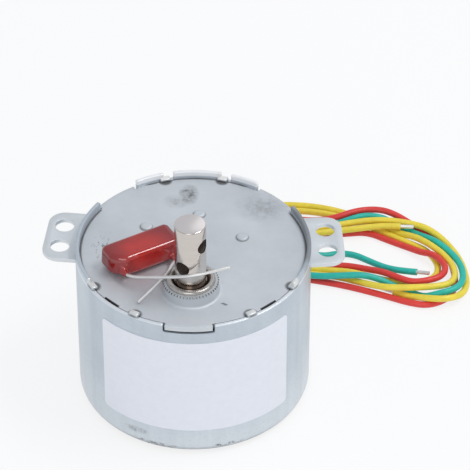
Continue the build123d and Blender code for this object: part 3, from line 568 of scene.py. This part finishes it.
def label_film():
    """Plain white label film with a soft sheen and slight waves where it lies on the can."""
    finish = Finish("label_film")
    finish.set(Coat_Weight=0.25, Coat_Roughness=0.2)
    fibres = finish.noise(600, 4, 0.6)
    tone = finish.ramp(fibres, (0.3, (0.84, 0.85, 0.90)), (0.7, (0.87, 0.88, 0.93)))
    dust = finish.span(finish.noise(2600, 3, 0.7), 0, 0.35, 0.66, 0.74)
    finish.colour(finish.tinted(tone, (dust, (0.45, 0.45, 0.47))))
    finish.roughness(finish.span(finish.noise(90), 0.36, 0.46))
    finish.bump(finish.noise(45, 2, 0.5), 0.03, 0.25)
    return finish.material


def turned_metal(name, tone, rough, pitch):
    """Turned or ground metal with fine rings along Z."""
    finish = Finish(name)
    finish.set(Metallic=1.0)
    rings = finish.noise(1 / pitch, 2, 0.5, finish.stretched(RINGS))
    handled = finish.span(finish.noise(240, 4, 0.6), 0, 0.25, 0.55, 0.75)
    turned = finish.ramp(rings, (0.3, shaded(tone, 0.90)), (0.7, tone))
    finish.colour(finish.tinted(turned, (handled, shaded(tone, 0.7))))
    finish.roughness(finish.span(rings, rough - 0.03, rough + 0.06))
    finish.bump(rings, 0.005)
    return finish.material


def shaft_nickel():
    """Polished nickel on the output shaft, with painted shade in its cross holes and low at its neck, and
    painted light on its top end.
    """
    finish = Finish("shaft_nickel")
    rings = finish.noise(3300, 2, 0.5, finish.stretched(RINGS))
    holes = [finish.spot((0, 0, height), 1.75, 0.95, (0, 0, 1)) for height, _ in CROSS_HOLES]
    hole_shade = finish.times(finish.column(SHAFT_AXIS, 3.2, 0.85), finish.most(*holes))
    finish.colour(finish.tinted(
        finish.ramp(rings, (0.3, NICKEL_DULL), (0.7, NICKEL_BRIGHT)),
        # Painted shade in the cross holes
        (finish.share(hole_shade, 0.85), HOLE_SHADE),
        # Painted shade low on the shaft where it enters the bush
        (finish.below(39.2, 40.2, 0.85), NECK_SHADE),
        # Painted light on the shaft's top end face
        (finish.above(53.74, 53.79), END_FACE_LIGHT),
    ))
    finish.metallic(finish.span(hole_shade, 1, 0.6, 0, 1))
    finish.roughness(finish.span(rings, 0.13, 0.22))
    finish.bump(rings, 0.004)
    return finish.material


def bush_steel():
    """Turned bush with painted shade in its mouth round the shaft."""
    finish = Finish("bush_steel")
    finish.set(Metallic=1.0)
    rings = finish.noise(1100, 3, 0.6)
    # Painted shade in the bush's mouth round the shaft
    mouth_shade_mask = finish.share(finish.column(SHAFT_AXIS, 4.15, 0.95), 0.85)
    tone = finish.ramp(rings, (0.3, BUSH_DULL), (0.7, BUSH_BRIGHT))
    finish.colour(finish.tinted(tone, (mouth_shade_mask, MOUTH_SHADE)))
    finish.roughness(finish.span(rings, 0.20, 0.32))
    finish.bump(rings, 0.003)
    return finish.material


def dipped_epoxy():
    """Glossy brown-red epoxy dip, uneven in thickness, with painted light towards the middle of the body,
    painted shade towards its ends, and a slight orange peel.
    """
    finish = Finish("dipped_epoxy")
    finish.set(Coat_Weight=1.0, Coat_Roughness=0.04, Coat_IOR=1.75, Roughness=0.45, Specular_IOR_Level=0.1)
    waves = finish.span(finish.noise(140, 4, 0.6), 0.35, 1, 0.35, 0.65)
    # Painted light towards the middle of the body and painted shade towards its ends, broken up by uneven
    # dip
    thin_and_lit = finish.times(finish.spot((-10.2, -6.5, 38.6), 8.5, 0.2), waves)
    finish.colour(finish.ramp(thin_and_lit, (0.1, (0.24, 0.001, 0.002)), (0.8, (0.56, 0.012, 0.003))))
    finish.bump(finish.noise(420, 2, 0.4), 0.02, 0.1)
    return finish.material


def vinyl_insulation(name, tone):
    """Soft vinyl wire insulation with a satin skin."""
    finish = Finish(name)
    mottle = finish.noise(500, 4, 0.6)
    finish.colour(finish.ramp(mottle, (0.3, shaded(tone, 0.86)), (0.7, tone)))
    finish.roughness(finish.span(finish.noise(900), 0.3, 0.42))
    finish.bump(finish.noise(1400, 2), 0.02)
    return finish.material


def moulded_plastic(name, tone, rough):
    """Moulded plastic or rubber with a fine matt grain."""
    finish = Finish(name)
    grain = finish.noise(700, 4, 0.6)
    finish.colour(finish.ramp(grain, (0.3, shaded(tone, 0.92)), (0.7, tone)))
    finish.roughness(finish.span(grain, rough - 0.05, rough + 0.05))
    finish.bump(grain, 0.01)
    return finish.material


def enamelled_winding():
    """Layers of enamelled copper wire."""
    finish = Finish("enamelled_winding")
    finish.set(Metallic=0.8, Roughness=0.35)
    turns = finish.noise(5200, 1, 0.4, finish.stretched((0.03, 0.03, 1.0)))
    finish.colour(finish.ramp(turns, (0.35, (0.30, 0.10, 0.03)), (0.65, (0.60, 0.26, 0.10))))
    finish.bump(turns, 0.08)
    return finish.material


FINISHES = {
    "plated_steel": can_zinc(),
    "label_film": label_film(),
    "pole_steel": zinc_plating("pole_sheet", (0.50, 0.51, 0.53), 0.45, 700),
    "nickel_steel": shaft_nickel(),
    "bush_steel": bush_steel(),
    "arbor_steel": turned_metal("arbor_steel", (0.65, 0.66, 0.68), 0.22, 0.0003),
    "bronze": turned_metal("sintered_bronze", (0.50, 0.33, 0.16), 0.5, 0.0004),
    "bobbin_plastic": moulded_plastic("bobbin_nylon", (0.80, 0.78, 0.70), 0.5),
    "copper_winding": enamelled_winding(),
    "ferrite": moulded_plastic("ferrite", (0.05, 0.05, 0.055), 0.7),
    "gear_plastic": moulded_plastic("gear_acetal", (0.84, 0.83, 0.78), 0.4),
    "gear_steel": turned_metal("gear_steel", (0.55, 0.55, 0.55), 0.35, 0.0003),
    "capacitor_epoxy": dipped_epoxy(),
    "tinned_wire": turned_metal("tinned_wire", (0.88, 0.87, 0.85), 0.42, 0.0005),
    "grommet_rubber": moulded_plastic("grommet_rubber", (0.02, 0.02, 0.02), 0.6),
    "red_insulation": vinyl_insulation("red_vinyl", (0.84, 0.055, 0.045)),
    "green_insulation": vinyl_insulation("green_vinyl", (0.02, 0.55, 0.45)),
    "yellow_insulation": vinyl_insulation("yellow_vinyl", (0.98, 0.78, 0.07)),
}
COVER_FINISH = plate_zinc()
# Lighter copy of the zinc for the ears: painted light
EAR_LIT_FINISH = zinc_plating("ear_lit_zinc", (0.76, 0.79, 0.81), 0.45, 700)
# Near-black zinc for the stake dents: painted shade
DENT_SHADE_FINISH = zinc_plating("dent_shade", (0.12, 0.115, 0.11), 0.5, 900)


def dress(piece, material):
    """Give a piece one material."""
    piece.data.materials.clear()
    piece.data.materials.append(material)


def dress_nodes():
    """Every CAD node takes the finish of its material slot."""
    for part in frame["record"]["subparts"]:
        dress(nodes[part["node"]], FINISHES[part["material_slot"]])


def begin(name, primitive, **size):
    """Add a primitive by itself and put its place and scale in its mesh."""
    bpy.ops.object.select_all(action="DESELECT")
    primitive(**size)
    piece = bpy.context.object
    piece.name = name
    bpy.ops.object.transform_apply(location=True, rotation=True, scale=True)
    return piece


def metres(values):
    """Millimetres as metres."""
    return [value * MM for value in values]


def block(name, size, spot):
    """Box of a size in millimetres, centred on a place."""
    return begin(
        name, bpy.ops.mesh.primitive_cube_add, size=1, location=metres(spot), scale=metres(size),
    )


def rod(name, sides, radius, length, spot=(0, 0, 0), rotation=(0, 0, 0)):
    """Cylinder with a radius and length in millimetres, centred on a place."""
    return begin(
        name, bpy.ops.mesh.primitive_cylinder_add, vertices=sides, radius=radius * MM, depth=length * MM,
        end_fill_type="NGON", location=metres(spot), rotation=rotation,
    )


@contextmanager
def editing():
    """Edit mode on the active piece."""
    bpy.ops.object.mode_set(mode="EDIT")
    yield
    bpy.ops.object.mode_set(mode="OBJECT")


def pick(kind, test):
    """Select the faces or edges of the mesh in edit mode that pass a test."""
    bpy.ops.mesh.select_mode(type=kind)
    bpy.ops.mesh.select_all(action="DESELECT")
    shape = bpy.context.object.data
    mesh = bmesh.from_edit_mesh(shape)
    mesh.normal_update()
    for item in mesh.faces if kind == "FACE" else mesh.edges:
        item.select_set(test(item))
    bmesh.update_edit_mesh(shape)


def middle(edge):
    """Middle of an edge, in millimetres."""
    return (edge.verts[0].co + edge.verts[1].co) / 2 / MM


def along(edge, axis):
    """Whether an edge runs some way along an axis."""
    return abs(edge.verts[0].co[axis] - edge.verts[1].co[axis]) > 0.1 * MM


def sharp(edge, least):
    """Whether the faces at an edge turn by more than an angle in radians."""
    return edge.calc_face_angle(0) > least


def faces_up(face):
    """Whether a face points upwards."""
    return face.normal.z > 0.9


def on_side(face):
    """Whether a face stands upright."""
    return abs(face.normal.z) < 0.1


def round_edges(test, radius, segments, **shape):
    """Bevel the edges that pass a test by a radius in millimetres."""
    pick("EDGE", test)
    bpy.ops.mesh.bevel(offset=radius * MM, segments=segments, affect="EDGES", **shape)


def draw_out(height):
    """Extrude the selected faces upwards by a height in millimetres."""
    bpy.ops.mesh.extrude_region_move(TRANSFORM_OT_translate={"value": (0, 0, height * MM)})


def only(piece):
    """Select a piece by itself and make it active."""
    bpy.ops.object.select_all(action="DESELECT")
    piece.select_set(True)
    bpy.context.view_layer.objects.active = piece


def apply_modifier(piece, kind, **settings):
    """Add a modifier to a piece and apply it."""
    only(piece)
    modifier = piece.modifiers.new(kind.lower(), kind)
    for key, value in settings.items():
        setattr(modifier, key, value)
    bpy.ops.object.modifier_apply(modifier=modifier.name)


def cut(piece, cutter):
    """Take a cutter's shape out of a piece and delete the cutter."""
    apply_modifier(piece, "BOOLEAN", operation="DIFFERENCE", solver="EXACT", object=cutter)
    bpy.data.objects.remove(cutter)


def fuse(piece, addition):
    """Join an added shape to a piece as one solid and delete it."""
    apply_modifier(piece, "BOOLEAN", operation="UNION", solver="EXACT", object=addition)
    bpy.data.objects.remove(addition)


def gather(piece, additions):
    """Put other pieces in a piece's mesh as they are."""
    only(piece)
    for addition in additions:
        addition.select_set(True)
    bpy.ops.object.join()


def place(piece, spot, turn=0.0):
    """Turn a piece about Z by degrees, move it in millimetres and put that in its mesh."""
    only(piece)
    piece.rotation_euler.z = math.radians(turn)
    piece.location = metres(spot)
    bpy.ops.object.transform_apply(location=True, rotation=True, scale=True)


def twin(piece, name):
    """Copy of a piece with its own mesh."""
    copy = piece.copy()
    copy.data = piece.data.copy()
    copy.name = name
    bpy.context.scene.collection.objects.link(copy)
    return copy


def finish_piece(piece, slot, body, *replaced, smooth=35):
    """Smooth a piece, give it its finish, and hang it on its body in place of CAD nodes."""
    only(piece)
    bpy.ops.object.shade_smooth_by_angle(angle=math.radians(smooth))
    dress(piece, FINISHES[slot])
    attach(piece, body)
    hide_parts(*replaced)


def turn_profile(name, sides, low, profile):
    """Turned solid about Z: a disc drawn up and resized through (radius, height) steps."""
    radius, height = profile[0]
    piece = rod(name, sides, radius, height - low, (0, 0, (low + height) / 2))
    with editing():
        pick("FACE", faces_up)
        for next_radius, next_height in profile[1:]:
            draw_out(next_height - height)
            bpy.ops.transform.resize(value=(next_radius / radius, next_radius / radius, 1))
            radius, height = next_radius, next_height
    return piece


def crimp_tongue():
    """Tongue of the rim folded in over the cover plate, with a worn, crowned top."""
    tongue = block(
        "crimp_tongue", TONGUE_SIZE,
        (0, TONGUE_STEP_IN - CAN_RADIUS, BODY_HEIGHT + TONGUE_SIZE[2] / 2),
    )
    with editing():
        pick("FACE", faces_up)
        bpy.ops.mesh.inset(thickness=TONGUE_FACET * MM)
        bpy.ops.transform.translate(value=(0, 0, TONGUE_CROWN * MM))
        round_edges(lambda edge: sharp(edge, 0.9), TONGUE_ROUND, 3)
    return tongue


def fold_tongues(can):
    """Copies of the tongue all round the can's rim."""
    tongue = crimp_tongue()
    tongues = [twin(tongue, "crimp_tongue_copy") for _ in TONGUE_BEARINGS]
    for copy, bearing in zip(tongues, TONGUE_BEARINGS):
        place(copy, (0, 0, 0), bearing)
    bpy.data.objects.remove(tongue)
    gather(can, tongues)


def ear_box(name, side, play=0.0):
    """Plain blank of a mounting ear, as a piece to stamp or a cutter for its slot."""
    length, width, thickness = EAR_SIZE
    return block(name, (length, width + 2 * play, thickness), (side * EAR_MIDDLE, 0, thickness / 2))


def pierce_can(can):
    """Slots for the ears, the rotor arbor's hole and a rounded slot for the leads."""
    for side in (1, -1):
        slot = ear_box("ear_slot", side, EAR_SLOT_PLAY)
        place(slot, (side * EAR_PLACE[0], EAR_PLACE[1], EAR_LOW), side * EAR_TURN)
        cut(can, slot)
    cut(can, rod("arbor_hole", 48, ARBOR_HOLE_RADIUS, CUT_THROUGH))
    wire_slot = block("wire_slot", WIRE_SLOT_SIZE, (0, CAN_RADIUS, WIRE_SLOT_HEIGHT))
    with editing():
        round_edges(lambda edge: along(edge, BACK), WIRE_SLOT_CORNER, 10)
    cut(can, wire_slot)


def raise_rim(level, height, stands):
    """Draw up the flat faces at a level, in millimetres, whose middles pass a test."""
    def rises(face):
        spot = face.calc_center_median()
        return faces_up(face) and abs(spot.z / MM - level) < NEAR and stands(spot)

    pick("FACE", rises)
    draw_out(height)


def draw_can():
    """Drawn can: rounded foot, bore, notched rim with raised segments and folded tongues."""
    can = rod("can_shell", 288, CAN_RADIUS, NOTCH_FLOOR, (0, 0, NOTCH_FLOOR / 2))
    with editing():
        round_edges(lambda edge: middle(edge).z < NEAR, CAN_FOOT_RADIUS, 8)
        pick("FACE", faces_up)
        bpy.ops.mesh.inset(thickness=CAN_WALL * MM)
        draw_out(CAN_WALL - NOTCH_FLOOR)
        raise_rim(NOTCH_FLOOR, BODY_HEIGHT - NOTCH_FLOOR, lambda spot: not within(spot, NOTCH_ARCS))
        raise_rim(BODY_HEIGHT, RIM_RISE, lambda spot: within(spot, RAISED_ARCS))
        round_edges(lambda edge: middle(edge).z > NOTCH_FLOOR - NEAR and sharp(edge, 0.7), RIM_ROUND, 3)
    pierce_can(can)
    fold_tongues(can)
    finish_piece(can, "plated_steel", "housing", "can")


def stamp_ears():
    """Two stamped ears with rounded corners, two holes each and softened edges."""
    ear = ear_box("right_ear_stamping", 1)
    with editing():
        round_edges(lambda edge: middle(edge).x > 0 and along(edge, UP), EAR_CORNER, 12)
    for step in (EAR_HOLE_STEP, -EAR_HOLE_STEP):
        cut(ear, rod("ear_drill", 72, EAR_HOLE_RADIUS, CUT_THROUGH, (0, step, 0)))
    apply_modifier(
        ear, "BEVEL", width=SHEET_ROUND * MM, segments=3, limit_method="ANGLE",
        angle_limit=math.radians(50), use_clamp_overlap=False,
    )
    left = twin(ear, "left_ear_stamping")
    left.scale.x = -1
    place(left, (-EAR_PLACE[0], EAR_PLACE[1], EAR_LOW), -EAR_TURN)
    with editing():
        bpy.ops.mesh.select_all(action="SELECT")
        bpy.ops.mesh.normals_make_consistent(inside=False)
    place(ear, EAR_PLACE, EAR_TURN)
    finish_piece(ear, "plated_steel", "housing", "right_ear")
    finish_piece(left, "plated_steel", "housing", "left_ear")
    # The ears take the lighter zinc copy, which is painted light
    dress(ear, EAR_LIT_FINISH)
    dress(left, EAR_LIT_FINISH)


def turn_shaft():
    """Stepped output shaft with a rounded end and two cross holes square to each other."""
    shaft = turn_profile("output_shaft_turning", 160, SHAFT_FOOT, SHAFT_PROFILE)
    for height, bearing in CROSS_HOLES:
        drill = rod(
            "cross_drill", 64, CROSS_HOLE_RADIUS, CROSS_DRILL_LENGTH, rotation=(math.radians(90), 0, 0))
        place(drill, (0, 0, height), bearing)
        cut(shaft, drill)
    place(shaft, (*SHAFT_AXIS, 0))
    finish_piece(shaft, "nickel_steel", "output", "output_shaft")


def press_plate():
    """Cover plate: three tabs, edge reliefs, drawn boss bored for the bush and pressed bumps."""
    underside = BODY_HEIGHT - PLATE_THICKNESS
    plate = rod(
        "cover_pressing", 720, PLATE_RADIUS, PLATE_THICKNESS, (0, 0, underside + PLATE_THICKNESS / 2))
    with editing():
        pick("FACE", lambda face: on_side(face) and within(face.calc_center_median(), TAB_ARCS))
        draw_out(0)
        reach = CAN_RADIUS / PLATE_RADIUS
        bpy.ops.transform.resize(value=(reach, reach, 1), center_override=(0, 0, 0))
        round_edges(lambda edge: middle(edge).z > BODY_HEIGHT - NEAR and sharp(edge, 0.7), PLATE_EDGE, 2)
    for bearing, depth in RELIEFS:
        relief = block(
            "edge_relief", (RELIEF_LENGTH, 2 * (RELIEF_OVERRUN + depth), CUT_THROUGH),
            (0, -(PLATE_RADIUS + RELIEF_OVERRUN), BODY_HEIGHT),
        )
        place(relief, (0, 0, 0), bearing)
        cut(plate, relief)
    boss = turn_profile("cover_boss", 144, BODY_HEIGHT - BOSS_SINK, BOSS_PROFILE)
    place(boss, (*SHAFT_AXIS, 0))
    fuse(plate, boss)
    cut(plate, rod("bush_bore", 144, BUSH_RADIUS, BUSH_DRILL_LENGTH, SHAFT_PLACE))
    for spot in BUMP_PLACES:
        bump = turn_profile("cover_bump", 48, BODY_HEIGHT - BUMP_SINK, BUMP_PROFILE)
        place(bump, (*spot, 0))
        fuse(plate, bump)
    for spot in [(0, 0), *BUMP_PLACES]:
        cut(plate, rod("arbor_pocket", 40, ARBOR_HOLE_RADIUS, POCKET_DEPTH, (*spot, underside)))
    finish_piece(plate, "plated_steel", "housing", "cover_plate", smooth=32)
    apply_modifier(plate, "WEIGHTED_NORMAL", keep_sharp=True, weight=100)
    dress(plate, COVER_FINISH)


def stake_boss():
    """Ring of stake marks that closes the boss round the bush, with painted shade in each dent."""
    ring = rod("boss_stake_ring", 4 * STAKE_COUNT, STAKE_RADIUS, STAKE_HEIGHT, (0, 0, STAKE_LEVEL))
    dress(ring, COVER_FINISH)
    ring.data.materials.append(DENT_SHADE_FINISH)

    def stakes_round(face):
        """Bearing of a face, counted in stakes."""
        return math.degrees(math.atan2(face.normal.y, face.normal.x)) * STAKE_COUNT / 360

    with editing():
        pick("FACE", lambda face: on_side(face) and (stakes_round(face) + 0.25) % 1 < 0.75)
        ring.active_material_index = 1
        bpy.ops.object.material_slot_assign()
        pick("FACE", lambda face: on_side(face) and stakes_round(face) % 1 < 0.25)
        inner = 1 - STAKE_DEPTH / STAKE_RADIUS
        bpy.ops.transform.resize(value=(inner, inner, 1), center_override=(0, 0, 0))
    cut(ring, rod("bush_bore", 96, BUSH_RADIUS + BUSH_PLAY, BUSH_DRILL_LENGTH))
    place(ring, SHAFT_PLACE)
    only(ring)
    bpy.ops.object.shade_smooth_by_angle(angle=math.radians(30))
    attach(ring, "housing")


def dip_capacitor():
    """Epoxy-dipped body: soft block whose coating runs a little way down both wires."""
    _, width, height = CAPACITOR_SIZE
    body = block("capacitor_dip", CAPACITOR_SIZE, (0, 0, height / 2))
    with editing():
        round_edges(
            lambda edge: along(edge, UP) and middle(edge).x < 0 and middle(edge).y < 0,
            CAPACITOR_BLUNT_CORNER, 10, profile=CAPACITOR_BLUNT_PROFILE)
        round_edges(lambda edge: along(edge, UP) and sharp(edge, 1.2), CAPACITOR_CORNER, 6)
        pick("FACE", faces_up)
        bpy.ops.transform.resize(value=CAPACITOR_TOP_SHARE)
        round_edges(lambda edge: sharp(edge, 1.2), CAPACITOR_ROUND, 5)
    drops = []
    for across, rise in (FRONT_EXIT, REAR_EXIT):
        drops.append(begin(
            "wire_drop", bpy.ops.mesh.primitive_cone_add, vertices=32, radius1=DROP_RADII[0] * MM,
            radius2=DROP_RADII[1] * MM, depth=DROP_LENGTH * MM, rotation=(math.radians(90), 0, 0),
            location=metres((across, -width / 2 - DROP_STEP_OUT, rise)),
        ))
    gather(body, drops)
    apply_modifier(body, "REMESH", mode="VOXEL", voxel_size=DIP_GRAIN * MM, use_smooth_shade=True)
    apply_modifier(body, "SMOOTH", factor=0.5, iterations=8)
    place(body, CAPACITOR_PLACE, CAPACITOR_TURN)
    finish_piece(body, "capacitor_epoxy", "capacitor", "capacitor_body", smooth=60)


def round_line(name, diameter, roundness, fineness):
    """Empty curve with a round section of a diameter in millimetres."""
    line = bpy.data.curves.new(name, "CURVE")
    line.dimensions = "3D"
    line.bevel_depth = diameter / 2 * MM
    line.bevel_resolution = roundness
    line.resolution_u = fineness
    line.use_fill_caps = True
    return line


def lay_run(line, points):
    """Smooth run of a curve over control points in millimetres."""
    spline = line.splines.new("NURBS")
    spline.points.add(len(points) - 1)
    for point, spot in zip(spline.points, points):
        point.co = (*metres(spot), 1)
    spline.order_u = 3
    spline.use_endpoint_u = True


def bend_capacitor_wires():
    """Two tinned wires: one sprung up in front of the shaft, one lying over the boss."""
    turn = math.radians(CAPACITOR_TURN)
    lengthwise = Vector((math.cos(turn), math.sin(turn), 0))
    outward = Vector((math.sin(turn), -math.cos(turn), 0))
    front_face = Vector(CAPACITOR_PLACE) + outward * CAPACITOR_SIZE[1] / 2
    line = round_line("capacitor_wire_line", CAPACITOR_WIRE, 4, 10)
    for (across, rise), route in ((FRONT_EXIT, FRONT_WIRE), (REAR_EXIT, REAR_WIRE)):
        start = front_face + lengthwise * across + Vector((0, 0, rise))
        steps = [Vector(SHAFT_PLACE) + Vector(step) for step in route]
        lay_run(line, [start, start + outward * WIRE_STUB, *steps])
    wires = bpy.data.objects.new("capacitor_wires", line)
    bpy.context.scene.collection.objects.link(wires)
    only(wires)
    bpy.ops.object.convert(target="MESH")
    finish_piece(bpy.context.object, "tinned_wire", "capacitor", "capacitor_leads", smooth=60)


def lay_lead(name, route, finish):
    """One connection lead as a smooth round tube from the grommet to its bared end."""
    line = round_line(name + "_line", LEAD_DIAMETER, 5, 6)
    lay_run(line, route)
    lead = bpy.data.objects.new(name + "_lay", line)
    bpy.context.scene.collection.objects.link(lead)
    lead.data.materials.append(FINISHES[finish])
    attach(lead, "housing")
    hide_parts(name)
    return lead


def lay_leads():
    """The four leads of the hank."""
    leads = [
        ("red_lead", RED_ROUTE, "red_insulation"),
        ("green_lead", GREEN_ROUTE, "green_insulation"),
        ("outer_yellow_lead", OUTER_YELLOW_ROUTE, "yellow_insulation"),
        ("inner_yellow_lead", INNER_YELLOW_ROUTE, "yellow_insulation"),
    ]
    for name, route, finish in leads:
        lead = lay_lead(name, route, finish)


def soft_lamp(name, spot, width, height, power):
    """Soft box of a width and height aimed at the motor."""
    lamp = bpy.data.lights.new(name, "AREA")
    lamp.shape = "RECTANGLE"
    lamp.size = width
    lamp.size_y = height
    lamp.energy = power
    box = bpy.data.objects.new(name, lamp)
    box.location = spot
    direction = Vector(LAMP_AIM) - Vector(spot)
    box.rotation_euler = direction.to_track_quat("-Z", "Y").to_euler()
    bpy.context.scene.collection.objects.link(box)


def pale_floor():
    """Pale matt floor that the camera and reflections see lifted towards white."""
    pale = Finish("pale_floor")
    pale.set(Roughness=0.9)
    pale.colour(pale.ramp(pale.noise(3, 2), (0.3, (0.90, 0.91, 0.92)), (0.7, (0.92, 0.93, 0.94))))
    white = pale.add("ShaderNodeEmission")
    seen = pale.add("ShaderNodeLightPath")
    rays = ("Is Camera Ray", "Is Glossy Ray", "Is Transmission Ray")
    shown = pale.most(*(seen.outputs[ray] for ray in rays))
    lift = pale.add("ShaderNodeMixShader")
    pale.join(pale.share(shown, FLOOR_LIFT), lift, 0)
    pale.join(pale.shader.outputs["BSDF"], lift, 1)
    pale.join(white.outputs["Emission"], lift, 2)
    pale.join(lift.outputs["Shader"], pale.tree.nodes["Material Output"], "Surface")
    return pale.material


def light_stage():
    """Pale floor, even surroundings and soft boxes."""
    floor = begin(
        "floor", bpy.ops.mesh.primitive_plane_add, size=FLOOR_SIZE, location=(0, 0, -FLOOR_DROP * MM))
    dress(floor, pale_floor())
    world = bpy.data.worlds.new("studio")
    bpy.context.scene.world = world
    world.use_nodes = True
    background = world.node_tree.nodes["Background"]
    background.inputs["Color"].default_value = SURROUNDINGS
    background.inputs["Strength"].default_value = SURROUNDINGS_STRENGTH
    for lamp in LAMPS:
        soft_lamp(*lamp)
    bpy.context.scene.view_settings.view_transform = "Standard"


set_camera()
lay_leads()
dress_nodes()
draw_can()
stamp_ears()
turn_shaft()
press_plate()
stake_boss()
dip_capacitor()
bend_capacitor_wires()
light_stage()
